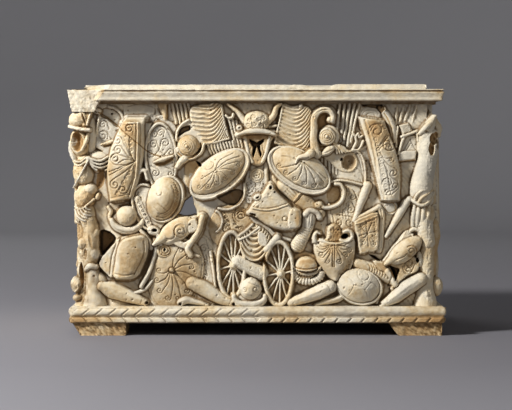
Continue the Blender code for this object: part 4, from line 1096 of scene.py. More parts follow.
def beaked_left_helmet(face):
    """The helmet with the curled beak, over the two tall shields with their scrolls."""
    tall = rimmed_oval(face, (-54, 35), (17, 37), 8, 1.5, 8, PALE)
    face.bar([(-47, 54), (-44, 34), (-41, 12)], 1.5, 10.5, PALE)
    face.line(0, [(-44.5, 53), (-40.5, 18)], 0.7, 3.0)
    face.line(0, [(-58.5, 56), (-59.5, 46), (-61.5, 30)], 1.1, 5.5)
    for at in ((-46.5, 49.5), (-46, 45.5)):
        face.drill(at, 1.4, -1.6)
    for k in range(4):
        face.scrolls(tall, ([(-52, 66 - 15 * k), (-50, 60 - 15 * k)], (-54, 58 - 15 * k), 1),
            width=0.6)
    face.line(tall, curve([(-60, 66), (-64, 50), (-66, 36)]), 0.6, 0.6)
    form = rimmed_oval(face, (-82, 31), (26.5, 38), 13.5, 4, -20, BUFF, 1.8, 0.11)
    hub = (-86, 36)
    fan(face, form, hub, ((-77, 56), (-70, 49), (-66.5, 39), (-65, 27), (-71, 15), (-80, 7.5),
        (-90, 8), (-98.6, 15.5), (-101, 26), (-99, 36)), 1, 3.0, 0.6, 1.0)
    face.drill(hub, 2.6, -3.2)
    # Painted shade over the palmette shield.
    face.darken_patch((-84, 24), (24, 30), -20, 0.5)
    face.line(0, loop(hub, 3.2, 20), 0.6, 0.8)
    guard = face.oval((-93.5, 56.5), (8, 7.8), 16, 2, tone=TAN)
    face.rings(guard, (-93, 56.5), (5.6, 3.4), 0.6, 1.0, OCHRE, steps=20)
    face.bore(loop((-93.2, 57), (1.3, 2.0), 10), 7)
    face.plate(ring([(-92, 68), (-84, 70), (-74, 64), (-66, 68), (-68, 60), (-76, 58.5), (-84, 63)]),
        17.5)
    crown = face.oval((-81.4, 76), (19.6, 10.8), 22, 6, 34)
    beak = curve([(-92, 71), (-98.5, 66), (-104.3, 62)], 4)
    face.bar(beak, np.linspace(6.2, 1.4, len(beak)), 20)
    face.scrolls(crown, ([(-92, 68), (-84, 69), (-82.6, 78)], (-77, 76), -1), width=0.6, depth=1.2)
    face.line(crown, arc((-77, 76), (6.4, 6.4), 60, 330, 24), 0.6, 0.9, TAN)
    face.stain((-84, 80), (12, 6), TAN, 34, 0.7)
    face.line(crown, curve([(-102, 62.6), (-94, 65.6), (-86, 67.6)]), 0.7, 0.9)
    face.plate(ring([(-70, 84), (-62, 88), (-60, 78), (-68, 74)]), 19, tone=PALE)
    face.drill((-67.5, 82.5), 1.1, 3)
    face.bar(curve([(-55, 90), (-59, 76), (-66, 65), (-70, 58), (-67, 51)], 4), 2.6, 20)
    face.bar(curve([(-70, 60), (-66, 53), (-59, 50)], 4), 1.6, 15)


def chariot(face):
    """Two wheels, the axle between them and the cloth heaped on it."""
    wheel(face, (-26, 41), (14.5, 35), (-24, 41), 15, 8)
    wheel(face, (21.5, 33), (15.5, 33.5), (23.8, 32.3), 17, 4)
    # The gap between the wheels is toned brown as painted shade.
    cut_out(face, [(-10, 46), (6, 44), (12, 36), (8, 50), (2, 52)], 3, OCHRE)
    cloth = face.plate(ring([(-13, 74), (-5, 82), (6, 78), (13, 70), (11, 58), (4, 47), (-8, 46),
        (-16, 54), (-17, 66)]), 15, edge=1.5)
    face.ripple(cloth, lambda u, v: (np.hypot(u + 3, (v - 84) * 0.8) + 0.22 * (u + 3) ** 2 / 6) / 4.4,
        1.3)
    for points in ([(-18, 71), (-10, 77), (-5, 82)], [(-18, 67), (-9, 71), (2, 79)]):
        face.bar(curve(points), 1.4, 16.5, PALE)
    face.plate(ring([(1, 75), (9, 71), (9, 61), (2, 62)]), 16.5, tone=PALE)
    face.bar([(20, 69), (9, 57)], 3.2, 17.5, PALE, flat=0.2)
    axle = face.bar([(-20, 45), (4, 33)], (6.2, 7.2), 17, PALE)
    for row in range(3):
        for k in range(10):
            at = -19 + 2.2 * k + 1.2 * row, 47 - 1.1 * k - 2.6 * row
            face.line(axle, [at, (at[0] + 0.9, at[1] - 1.5)], 0.5, 0.8)


def centre_helmet(face):
    """The round-crowned helmet under the chariot, with its two-layered brim."""
    face.oval((-8, 6.5), (17.5, 9.5), 15, 2, tone=PALE)
    brim(face, (-8, 9.5), (15.8, 7.5), 172, 368, 2.4, 20, PALE, layers=2)
    dome = face.oval((-7.2, 17.5), (11.2, 11.2), 23, 10, ball=True)
    face.scrolls(dome, ([(-16, 21), (-15, 15)], (-13, 17), 1), ([(-8, 24), (1.5, 20)], (-1.5, 17.5),
        -1), width=0.6)
    face.line(dome, arc((-7.2, 18), (10.5, 9), 200, 340), 0.7, 0.9)
    face.line(dome, arc((-7.2, 20), (10.5, 9), 205, 335), 0.6, 0.7)
    face.drill((-6, 28.8), 1.7, -1.6)


def scalloped_helmet(face):
    """The helmet whose brim is cut like a string of beads."""
    face.plate(ring([(36, 48), (46, 54), (60, 50), (66, 40), (66, 28), (50, 20), (36, 26)]), 8,
        tone=TAN)
    dome = face.oval((49.2, 38.6), (11.4, 11), 19.5, 7, ball=True)
    for at, size in (((45.4, 44.4), (3.4, 2.2)), ((53, 45.4), (3.6, 2.0)), ((50, 40.6), (2.4, 1.6))):
        face.stain(at, size, OCHRE, 8, 0.6)
    face.line(dome, arc((49.2, 42), (13, 4.6), 200, 340), 0.6, 1.2, OCHRE)
    # The cut under the crown is toned tan as painted shade.
    cut_out(face, np.vstack([arc((49.2, 38.6), (12, 3.6), 180, 360), arc((49.2, 38.6), (13, 13), 360,
        180)]), 12, TAN)
    for k in range(14):
        angle = math.radians(187 + 12.8 * k)
        at = 51 + 14.4 * math.cos(angle), 34.6 + 10.4 * math.sin(angle)
        face.oval(at, (1.9, 3.3), 15.5, 1.6, math.degrees(angle) + 90, 1.0, PALE)
    face.bar(arc((50.4, 38.5), (12.6, 6.6), 184, 356), 1.5, 15.5)
    for k in range(13):
        angle = math.radians(190 + 13.2 * k)
        face.drill((50.4 + 12.2 * math.cos(angle), 37.6 + 7.4 * math.sin(angle)), 1.0, 1.6)


def heart_shield(face):
    """The heart-shaped shield with its drilled loops and palmette."""
    neck = face.plate(ring([(71.5, 80), (76, 82.6), (81, 81.5), (84.4, 76), (86.4, 70), (90, 65),
        (64, 64), (69, 68), (70.6, 74)]), 16, tone=TAN, edge=3, tilt=(-0.25, 0.05))
    face.ripple(neck, lambda u, v: value_noise(u / 2.4, v / 2.4, 9) * 0.4, 0.7)
    face.stain((79.5, 74), (4, 7), OCHRE)
    face.bore(loop((81.6, 77), (1.0, 1.2), 8), 4)
    body = ring([(58, 66), (64, 68), (72, 65), (79, 64), (88, 65), (97, 68), (98, 56), (95.5, 42),
        (89, 31), (79, 25.5), (70, 31), (61, 45), (57.4, 57)])
    form = face.plate(body, 20, 6, 1.3, CREAM, (0, 0.08), sides=(curve([(58, 67), (57.4, 56),
        (64, 38), (77, 24)]), curve([(98, 69), (98, 56), (92, 38), (81, 24)])))
    face.bar(curve([(58, 65), (57.4, 70), (59.4, 74), (62.6, 73)]), np.linspace(2.2, 1.0, 19), 18)
    face.line(0, curve([(61, 67), (61.5, 70.5), (64.5, 70)]), 0.7, 2.0, OCHRE)
    face.bar(curve([(84, 66.4), (88, 65), (92.4, 66.2), (95.4, 70), (94.4, 74.4), (90.6, 76.4),
        (87.6, 75)]), 1.5, 20)
    face.bore(loop((88.2, 70.2), (4.2, 2.9), 12, 12), 12)
    face.line(form, curve([(60, 64), (66, 64), (72, 61.5), (80, 61.5), (90, 64), (96, 66)]), 0.6, 0.9)
    face.line(form, [(75.2, 62), (75.6, 40)], 0.55, 1.2, TAN)
    face.line(form, [(77.6, 62), (77.4, 40)], 0.55, 1.2, TAN)
    for start, bend, end in (((72, 61), (66, 60), (61, 63.5)), ((72, 60), (65, 57), (60, 60)),
            ((73, 60), (66, 54), (61, 55)), ((81, 61), (87, 61), (92, 64)), ((80.5, 60), (87, 57),
            (94, 60))):
        face.line(form, curve([start, bend, end]), 0.5, 1.1)
    face.scrolls(form, ([(74, 60), (71, 55), (67, 50)], (64.5, 52), -1), ([(74, 58), (72, 51),
        (68.4, 44.5)], (70.7, 45.8), 1), ([(79, 60), (84, 55), (88.5, 49.5)], (88, 52.4), 1),
        ([(79, 58), (83, 51), (84.6, 44.5)], (82, 45.4), -1), ([(81, 62), (90, 60), (95, 57)],
        (92.5, 56.6), -1), width=0.6)
    running_scrolls(face, form, curve([(93, 47), (89, 38), (81, 31)]), 4, 1.3, -1)
    face.stain((78, 57), (9, 9), TAN, amount=0.8)
    # Darkens the lower part of the shield.
    face.darken_patch((77, 38), (16, 14), 0, 0.5)


def beaked_right_helmet(face):
    """The second beaked helmet, the bundle under it and the rolled cloth."""
    log = face.bar([(101, 43), (121, 35), (138, 27)], (5.0, 6.4, 7.0), 14)
    for k in range(9):
        at = 112 + 2.6 * k, 42.5 - 1.2 * k
        face.line(log, curve([at, (at[0] + 1.6, at[1] - 3), (at[0] + 1.2, at[1] - 6.5)]), 0.5, 1.0,
            TAN)
    face.bore([(112, 52), (119, 50.5), (125, 45.5), (122, 45), (116, 48)], 7)
    face.plate(ring([(117, 45), (126, 44), (131, 36), (124, 36)]), 15, tone=TAN)
    face.bar(curve([(131, 35), (135, 30), (139, 22)], 3), 3.0, 17)
    face.line(0, [(132.5, 20), (137, 36)], 0.8, 2.0)
    # A hollow toned brown as painted shade.
    cut_out(face, ring([(131, 44), (141, 42), (139, 27), (134, 35)]), 5, OCHRE)
    cheek = face.plate(ring([(132, 46), (150, 51), (162, 46), (162, 36), (150, 30), (141, 22),
        (136, 19), (140, 34)]), 14, tone=TAN, edge=1.6)
    face.scrolls(cheek, ([(160, 45), (156, 35)], (153, 41), -1), ([(146, 40), (148, 34)], (152, 36),
        1), width=0.6)
    crown = face.oval((149, 56), (19.5, 9.5), 21.5, 5, 38)
    beak = curve([(143, 52.5), (136, 47.6), (129, 42.6)], 4)
    face.bar(beak, np.linspace(6.0, 1.8, len(beak)), 19.5)
    face.scrolls(crown, ([(140, 47), (147, 50), (150.6, 53)], (154.6, 55.6), 1), width=0.6, depth=1.2)
    face.line(crown, arc((154.6, 55.6), (6.0, 5.6), -120, 130, 24), 0.6, 0.9, OCHRE)
    face.line(cheek, loop((152.6, 43.8), 3.6, 16), 0.6, 1.0)
    face.bore(loop((161.4, 46), (1.7, 2.8), 10), 10)
    face.bore(ring([(133.6, 40.4), (139, 38.8), (143.6, 37), (142, 30), (138.6, 25), (137.4, 31)]), 9)
    face.stain((153, 56), (7, 6), TAN, 30, 0.8)
    face.bar([(136, 17), (146, 33), (150, 35)], 1.6, 12)


def round_bottom_shield(face):
    """The domed shield at the foot of the heap, with its incised branches."""
    form = domed_shield(face, (103.4, 19), (23.2, 18.2), 24, 8, -14, (-1.0, 1.4), PALE, 1.7)
    face.line(form, curve([(105, 36), (110, 34), (112, 30), (109, 26.5), (105, 27.5)]), 0.6, 0.9)
    face.line(form, curve([(101, 36), (101.5, 30), (106, 25)]), 0.55, 0.7)
    for start, end in (((90, 30), (97, 22)), ((97, 22), (92, 12)), ((97, 22), (108, 17)),
            ((108, 17), (114, 24)), ((108, 17), (111, 6)), ((114, 24), (120, 20))):
        face.line(form, curve([start, ((start[0] + end[0]) / 2 + 0.8, (start[1] + end[1]) / 2 + 0.8),
            end]), 0.5, 0.6)
    face.stain((98, 14), (9, 7), TAN, amount=0.7)


def greaves(face):
    """The shin armour strewn along the foot of the heap, and two shafts beside it."""
    greave(face, [(-157, 20), (-147, 16), (-131, 10), (-113, 3.5)], (4.5, 8.3, 6.4, 3.4), 18, CREAM,
        (-111.5, 3.5))
    greave(face, [(-77, 3.5), (-71, 6), (-62, 4), (-50, 0.5)], (3.8, 3.8, 2.6, 1.2), 17, PALE,
        (-77.8, 2.2))
    greave(face, [(-65.5, 23), (-53, 17), (-38, 8), (-25, 2.5)], (6.2, 7.2, 5.6, 3.2), 20, CREAM,
        (-24, 2))
    greave(face, [(73.5, 19.5), (62, 14), (47, 8), (33.5, 4)], (6.4, 7.0, 5.4, 4.2), 20, PALE)
    face.line(0, curve([(69, 23), (73, 18), (74, 12)]), 0.6, 0.8)
    greave(face, [(87, 11), (80, 6.5), (70, 4), (58, 0.5)], (3.6, 3.2, 2.6, 1.2), 15, CREAM)
    greave(face, [(165, 27), (152, 19), (139, 9), (126, 1.5)], (6.2, 7.6, 6.2, 3.0), 20, PALE,
        (123.5, 2.5))
    for start, end in (((120, 24), (118, 4)), ((124, 22), (121, 3))):
        face.bar([start, end], 1.3, 12, PALE)


def front_marks(face):
    """The old break across the left shields, chips, pits and worn patches."""
    crack = [(-160, 195), (-146, 186), (-132, 174), (-120, 164), (-109, 155), (-97, 150)]
    face.line(0, curve(crack), 0.45, 1.7, OCHRE)
    rng = np.random.default_rng(12)
    for _ in range(260):
        at = rng.uniform(-165, 165), rng.uniform(2, 200)
        face.drill(at, rng.uniform(0.7, 1.4), rng.uniform(0.3, 1.1))


# The trophies standing at the two front corners

def left_trophy(faces):
    """Helmet and mantled cuirass hung on a rough post, cut round the corner."""
    def skin(u):
        return 4 + 11.4 * math.sqrt(max(0.06, 1 - ((u + 174) / 11.5) ** 2))

    limb(faces, [(-175, 196, 3), (-176, 120, 3), (-173, 78, 3), (-175, 30, 3), (-175, 0, 3)],
        (7, 8, 6.5, 7.5, 9), HONEY)
    round_form(faces, (-168, 172, 4), (7, 20, 10), 0, PALE)
    round_form(faces, (-180.2, 186.6, 8.5), (9.7, 9.4, 11.4), 0, CREAM)
    round_form(faces, (-176, 189, 14), (5.6, 7, 5), 20, TAN)
    limb(faces, [(-168.5, 196, 9), (-171.5, 189, 13), (-174, 182, 15)], (3.4, 3.6, 3.0), TAN)
    limb(faces, [(-167.2, 195.5, 13.5), (-169.2, 188, 16.5), (-170.8, 182, 18)], 0.9, PALE)
    # A slot toned brown as painted shade.
    round_form(faces, (-174, 188.5, 18.5), (0.9, 6.5, 4.5), 18, OCHRE, cut=True)
    limb(faces, [(-189, 180.6, -9), (-190.8, 180.8, 4), (-188, 180.2, 13), (-180, 178.4, 19),
        (-168.5, 177, 20)], 1.8, PALE)
    # The face opening, its cheek piece and what hangs under it.
    round_form(faces, (-178, 165, 5.5), (10.6, 15, 12), 3, TAN)
    # The face opening is toned brown as painted shade.
    round_form(faces, (-181.5, 165.5, 16), (6.6, 10.4, 11.5), 6, HOLLOW_SHADE, cut=True)
    round_form(faces, (-183.6, 163.5, 5.2), (2.6, 7.6, 2.8), -6, GREY)
    limb(faces, [(-189, 165, 2), (-187.8, 156, 6), (-184.6, 147.5, 9.5)], (1.3, 2.3, 1.8), GREY)
    limb(faces, [(-170, 173, 14), (-172, 165, 16.5), (-176, 157, 16.5)], (1.8, 1.9, 1.4), CREAM)
    # The mantle over one shoulder, knotted in the middle.
    round_form(faces, (-170, 146, 5.5), (12, 6.6, 10), -4, CREAM)
    round_form(faces, (-160, 149.6, 5.5), (11.5, 6.6, 8), -6, PALE)
    for k in range(4):
        limb(faces, [(-169, 149.8 - 0.9 * k, 16.8), (-164.5, 147.4 - 2.8 * k, 17.4 - 0.8 * k),
            (-157.5, 146.2 - 3.5 * k, 17 - 1.1 * k), (-150, 150.4 - 4.2 * k, 14.4 - 0.8 * k)],
            (1.0, 1.1, 1.15, 1.0), PALE)
    for drop in (0, 3.2):
        limb(faces, [(-171.5, 149.5 - drop, 16.6), (-177.5, 145.2 - drop, 16),
            (-183, 145.6 - drop, 11.5), (-186, 149 - drop, 6)], 1.0, CREAM)
    round_form(faces, (-170, 148.4, 16), (2.2, 2.4, 2.6), 0, PALE)
    # The chest, the strap across it and the rough mass below.
    round_form(faces, (-175.5, 134, 4), (10.4, 15, 13.2), 4, TAN)
    limb(faces, [(-169.5, 147, 17.6), (-176.5, 134, 17.6), (-184.8, 119, 9)], 0.95, PALE)
    # A hollow toned brown as painted shade.
    round_form(faces, (-158.5, 128, 11), (6.5, 13, 7), -6, OCHRE, cut=True)
    round_form(faces, (-174, 111, 4), (11, 14.5, 12.4), 0, TAN)
    round_form(faces, (-170, 117, 6), (9, 7, 10), 6, CREAM)
    limb(faces, [(-184, 100, 6), (-178, 97.5, 13), (-171, 102, 14.4), (-164.5, 107.5, 12)],
        (0.8, 1.0, 1.0, 1.4), CREAM)
    round_form(faces, (-160.6, 110.5, 11.5), (2.2, 3.8, 3.0), -20, TAN)
    # A hollow toned brown as painted shade.
    round_form(faces, (-182, 119, 8), (2.6, 3.4, 4), 0, OCHRE, cut=True)
    round_form(faces, (-173.5, 92, 4), (10.5, 12.5, 11.2), 0, CREAM)
    for k in range(5):
        reach = 4.4 + 3.0 * k
        fold = [(-168.5 + reach * math.cos(math.radians(turn)), 101.5 + reach *
            math.sin(math.radians(turn))) for turn in (196, 222, 250, 278)]
        limb(faces, [(u, v, skin(u) - 0.1) for u, v in fold], (0.7, 1.0, 1.0, 0.7),
            (PALE, CREAM)[k % 2])
    # The rough post under it and what lies at its foot.
    limb(faces, [(-171, 85, 7), (-168.5, 78, 7.5), (-168, 62, 8), (-168.5, 42, 7)],
        (8.6, 8.0, 8.8, 7.2), STRAW)
    limb(faces, [(-180.5, 82, 1), (-179.5, 62, 1), (-181, 40, 0)], (1.8, 2.6, 2.2), TAN)
    round_form(faces, (-174, 63, 6.4), (7, 7, 9.6), 15, STRAW)
    round_form(faces, (-164, 72, 10), (4.6, 7, 5.4), -12, STRAW)
    round_form(faces, (-165.5, 54, 9.5), (6, 8.5, 7), 20, CREAM)
    # Hollows in the post toned brown as painted shade.
    for at, size, turn in (((-168, 66, 19.6), (2.6, 15, 4), 14), ((-175.6, 48, 15.2), (3.6, 10, 4),
            -16), ((-178.4, 78, 11.4), (3, 8, 4), 6)):
        round_form(faces, at, size, turn, RUSSET, cut=True)
    limb(faces, [(-172.5, 36.5, 13), (-168.5, 40.5, 15), (-162.5, 39.5, 14.5)], (2.2, 3.0, 2.8), PALE)
    limb(faces, [(-167.5, 40, 8), (-165.5, 26, 7), (-165, 12, 5), (-165, 0, 4)],
        (6.6, 8.4, 10.5, 13.5), IVORY)
    round_form(faces, (-158, 26, 8), (5.4, 9, 5), 24, CREAM)
    # A slit toned brown as painted shade.
    round_form(faces, (-177, 30, 8), (2.4, 14, 6), 4, HOLLOW_SHADE, cut=True)
    round_form(faces, (-182.4, 21.2, 5), (6.2, 8.8, 9), 0, CREAM)
    limb(faces, [(-183.4, 14.5, 13), (-180.4, 18, 13.4), (-181, 22.5, 14)], 0.9, CREAM)
    round_form(faces, (-181.2, 8.2, 5), (5.8, 3.8, 8.6), 14, TAN)
    # Painted shade darkens the rough lower half of the post.
    for face in faces[1:]:
        near = np.clip((-152 - face.starts[:, 0] - 12 * face.runs[:, 0]) / 6, 0,
            1) * np.clip((112 - face.up) / 30, 0, 1)
        patches = 0.5 + 0.5 * value_noise(face.across / 5.0, face.up / 5.0, 61)
        face.shade_and_grime = np.maximum(face.shade_and_grime, 0.65 * near * patches)


def right_captive(faces):
    """A headless figure with one arm raised and broken at the wrist, cut round the corner."""
    limb(faces, [(168, 158, 4), (169, 168, 6), (171.5, 177, 8.5), (175, 184.5, 10), (178, 189.6, 9)],
        (8.8, 8.4, 6.6, 4.8, 3.2), PALE)
    limb(faces, [(179, 190.4, 10), (174.5, 185, 14), (169, 179.4, 15), (163.5, 173.6, 13)],
        (2.2, 2.8, 2.8, 2.0), PALE)
    limb(faces, [(178, 187, 9), (182.4, 180, 6.5), (182.5, 172, 5)], (3.6, 3.6, 3.0), CREAM)
    round_form(faces, (184.2, 178.6, 1), (3.2, 3.6, 4), 20, CREAM)
    round_form(faces, (171, 174.5, 16.5), (3.4, 1.6, 4), -38, TAN, cut=True)
    limb(faces, [(173, 172, 5), (172.5, 160, 6.5), (171.5, 148, 7), (168.5, 134, 8), (165.5, 120, 8),
        (166, 108, 6)], (9.6, 10.6, 10.0, 10.6, 11.6, 12.2), ASH)
    limb(faces, [(179, 168, 2), (178.4, 150, 2), (176.5, 130, 2), (176, 106, 2)],
        (4.6, 4.4, 4.4, 4.8), CREAM)
    # Hollows toned brown as painted shade.
    for at, size in (((177.6, 168.0, 15), (4.4, 6.2, 8)), ((175.4, 158.4, 17), (3.2, 7.0, 5.5)),
            ((180.6, 172, 12), (3, 4, 5)), ((181, 162, 9), (2.0, 6.5, 4.5)), ((183, 134, 3),
            (2.2, 14, 4))):
        round_form(faces, at, size, 0, OCHRE, cut=True)
    # The cloth tied at the hips and hanging below.
    limb(faces, [(153.5, 109, 13), (158.5, 104.5, 17), (166, 101.5, 18.6), (173, 105.5, 15),
        (178, 114, 8)], 1.7, PALE)
    limb(faces, [(158, 104.5, 16.6), (159.5, 111, 18.2), (165, 116, 19.0), (172, 116.5, 16)], 1.4,
        PALE)
    limb(faces, [(161, 103.5, 17.6), (165, 109, 18.8), (170.5, 112.5, 17.2), (176, 117, 12)], 1.5,
        CREAM)
    round_form(faces, (153, 107.4, 13), (3.0, 3.0, 3.6), 0, PALE)
    round_form(faces, (167.5, 92, 4), (12.2, 15, 11), 0, CREAM)
    for k, u in enumerate((156.8, 161, 166, 171.4)):
        limb(faces, [(u + 2.0, 103, 13.6 - 1.0 * abs(k - 1.6)), (u + 0.8, 92,
            14.6 - 1.2 * abs(k - 1.6)), (u, 81, 12.0 - abs(k - 1.6))], (1.4, 2.4, 2.0), PALE)
    limb(faces, [(168, 88, 5), (169, 76, 7), (172, 64, 8)], (10, 8.8, 7.6), PALE)
    round_form(faces, (171.5, 62.4, 10.5), (4.6, 5.4, 5.0), 10, PALE)
    limb(faces, [(172, 62, 7), (171.2, 46, 6.5), (171.8, 31, 6)], (7.0, 7.6, 6.6), CREAM)
    round_form(faces, (164, 47, 10), (3.4, 8, 4), 6, PALE)
    limb(faces, [(179, 84, 1), (180.6, 72, 0), (178.6, 56, 0), (178, 32, 0)], (4.2, 5.2, 4.2, 3.8),
        TAN)
    limb(faces, [(171.5, 33, 6), (170, 16, 6), (170, 0, 5)], (6.6, 8.6, 12), PALE)
    round_form(faces, (171, 12, 13.6), (2.2, 3.4, 2.8), 10, PALE)
    round_form(faces, (181.4, 19, 2.5), (6.4, 10, 8), 0, CREAM)


# Hidden faces, in keeping with the front and plainer

def end_heap(face):
    """Shields, a helmet and greaves over spears, on one of the ends."""
    sheaf(face, (-72, 205), (-64, 140), 12, 3, 2.6, 8)
    sheaf(face, (42, 205), (36, 130), 12, 3, 2.6, 8)
    for corners in ([(-104, 168), (-110, 124), (-116, 80)], [(84, 176), (88, 128), (92, 80)]):
        left = curve(corners)
        right = left + (28, 3)
        form = long_shield(face, left, right, 19, CREAM)
        face.line(form, left + (24, 2), 1.4, 1.0)
        face.scrolls(form, ([(left[3][0] + 12, 150), (left[3][0] + 8, 156)], (left[3][0] + 11, 159),
            1), ([(left[9][0] + 12, 104), (left[9][0] + 8, 98)], (left[9][0] + 11, 94), -1),
            width=1.2)
    for at, size, w, turn in (((-42, 116), (26, 46), 17, 24), ((44, 104), (28, 44), 21, -22)):
        form = rimmed_oval(face, at, size, w, 5, turn, CREAM, 4)
        face.oval(at, (5, 6), w + 1.5, 2, turn, tone=PALE)
        for k in range(6):
            spot = arc(at, (size[0] * 0.62, size[1] * 0.62), 60 * k + 20, 60 * k + 20, 1, turn)[0]
            face.scrolls(form, ([at, (spot[0] * 0.8 + at[0] * 0.2, spot[1] * 0.8 + at[1] * 0.2)],
                tuple(spot), 1), width=1.2, depth=1.0)
    dome = face.oval((2, 174), (16, 15), 20, 10, tone=TAN, ball=True)
    face.line(dome, arc((2, 174), (15, 9), 200, 340), 1.2, 1.2)
    brim(face, (2, 170), (23, 14), 190, 350, 4, 15, PALE)
    face.oval((-74, 40), (36, 26), 21, 7, 12)
    face.line(0, loop((-74, 40), (30, 20), 60, 12), 1.2, 1.0)
    star(face, 0, (-74, 40), 10, 8)
    crown = face.oval((66, 44), (27, 16), 21, 6, 24, tone=TAN)
    beak = curve([(52, 34), (40, 28), (30, 24)], 4)
    face.bar(beak, np.linspace(8, 2.4, len(beak)), 19)
    face.scrolls(crown, ([(50, 34), (66, 42), (78, 50)], (72, 46), 1), width=1.3, depth=1.2)
    greave(face, [(-36, 34), (-14, 22), (18, 7)], (9, 9, 6), 18, PALE)


def back_heap(face):
    """Two tall shields laid over crossed spears, and a helmet between them."""
    for side in (-1, 1):
        face.bar([(side * -126, 198), (side * 126, 5)], 3.2, 12, PALE)
    for side in (-1, 1):
        at, turn = (side * 52, 100), side * 14
        form = rimmed_oval(face, at, (38, 78), 22, 8, turn, CREAM, 6)
        face.oval(at, (9, 9), 24, 4, tone=PALE)
        for k in range(8):
            spot = arc(at, (25, 52), 45 * k, 45 * k, 1, turn)[0]
            face.scrolls(form, ([at, (spot[0] * 0.85 + at[0] * 0.15, spot[1] * 0.85 + at[1] * 0.15)],
                tuple(spot), side), width=1.7, depth=1.2)
    dome = face.oval((0, 184), (15, 11), 18, 8, tone=TAN, ball=True)
    face.line(dome, arc((0, 184), (14, 7), 200, 340), 1.6, 1.2)
    brim(face, (0, 180), (21, 9), 190, 350, 4, 14, PALE)


def broken_hole(face, outline, bottom):
    """The break through a wall: a ragged hole that goes as deep as the wall is thick."""
    outline = np.asarray(outline, float)
    spot, across, up = face.window(outline, 4)
    gap = to_outline(across, up, outline) + 1.3 * roughness_of(across / 3.0, up / 3.0, 77)
    inside = gap < 0
    face.w[spot][inside] = np.maximum(bottom, 4 + gap[inside] * 30)
    face.shift[spot][inside] = 0
    face.tone[spot][inside] = TAN


def back_hole():
    """The break where it comes out at the back: wider, and further out and down."""
    return [(-81 + 1.75 * (u + 74), 96 + 1.75 * (v - 101)) for u, v in HOLE]


def deep_heap(face):
    """Folded cloth and small gear that fill the gaps at the back of the heap."""
    u, v = face.across, face.up
    folds = (0.8 * u + 0.6 * v + 9 * value_noise(u / 24, v / 24, 43)) / 5.2
    low = 6.0 + 2.0 * value_noise(u / 13, v / 13, 41) + 0.22 * np.cos(2 * math.pi * folds)
    face.w[:] = np.maximum(face.w, low)
    face.tone[:] = 0.12 + 0.2 * np.clip((150 - v) / 40, 0, 1)


def carve_front(face, neighbours):
    """Carve the front from the back of the heap outwards, then its corners and the ends beside them."""
    deep_heap(face)
    broken_hole(face, HOLE, -WALL / FRONT_UNIT - 0.8)
    for carve in (left_top, upper_left_flag, tipped_helmet, horned_helmet, upper_right_flag, swan_crest,
                  right_top, left_long_shields, round_left_shield, middle_strip, quiver_and_pelta,
                  shields_right, great_left_shield, great_right_shield, horse_mask, right_middle,
                  left_bottom, beaked_left_helmet, chariot, centre_helmet, scalloped_helmet,
                  heart_shield, beaked_right_helmet, round_bottom_shield, greaves):
        carve(face)
    left_trophy(neighbours[:2] + [face])
    right_captive(neighbours[2:] + [face])
    # The hidden ends are left rougher, the left corner roughest of all.
    for carved_side, rough in zip([face] + neighbours, (1.0, 1.5, 3.6, 1.5, 2.2)):
        slope_sides(carved_side, rough)
        carved_side.cut_bores()
    front_marks(face)


def carved_faces():
    """Every face of the block, from the left end round the front and the right end to the back."""
    half = CORNER_AXIS[0]
    coarse = GRID_ROWS[::2]
    across = np.linspace(-half, half, int(round(2 * half / FRONT_CELL)) + 1)
    front = Face(across, GRID_ROWS, np.column_stack([across, 0 * across]), [(0, 1)] * len(across), 1,
        0, 1)
    # The ends run from the back corner to the axis of the front corner.
    back_corner = -(FRONT_GROUND + BACK_GROUND) / FRONT_UNIT
    depths = np.linspace(back_corner, CORNER_AXIS[1], END_CELLS + 1)
    along = ((BACK_GROUND - FRONT_GROUND) / 2 + FRONT_GROUND + depths * FRONT_UNIT) / END_COLUMN
    scale = COLUMN / SIDE_UNIT
    left_end = Face(along, coarse, np.column_stack([0 * depths - SIDE_START, depths]),
                    [(-1, 0)] * len(depths), scale, 0, 3)
    right_end = Face(-along[::-1], coarse, np.column_stack([0 * depths + SIDE_START, depths[::-1]]),
                     [(1, 0)] * len(depths), scale, 0, 4)
    # The corners are fans of rays from an axis inside them.
    corners = []
    for side in (-1, 1):
        turns = np.linspace(0, math.pi / 2, CORNER_CELLS + 1)
        turns = turns if side > 0 else -turns[::-1]
        runs = np.column_stack([np.sin(turns), np.cos(turns)])
        base = np.minimum(-CORNER_AXIS[1] / np.maximum(runs[:, 1], 1e-6),
                          (SIDE_START - half) / np.maximum(np.abs(runs[:, 0]), 1e-6))
        axis = [(side * half, CORNER_AXIS[1])] * len(turns)
        corners.append(Face(CORNER_SPREAD * turns, GRID_ROWS, axis, runs, 1, base, 2))
    across = np.linspace(-SIDE_START, SIDE_START, int(round(2 * SIDE_START / BACK_CELL)) + 1)
    back = Face(across, coarse, np.column_stack([-across, 0 * across + back_corner]),
                [(0, -1)] * len(across), FRONT_UNIT / BACK_UNIT, 0, 5)
    end_heap(left_end)
    end_heap(right_end)
    back_heap(back)
    slope_sides(back)
    broken_hole(back, [(-u, v) for u, v in back_hole()], -WALL / BACK_UNIT - 1.3)
    carve_front(front, [left_end, corners[0], right_end, corners[1]])
    return [left_end, corners[0], front, corners[1], right_end, back]


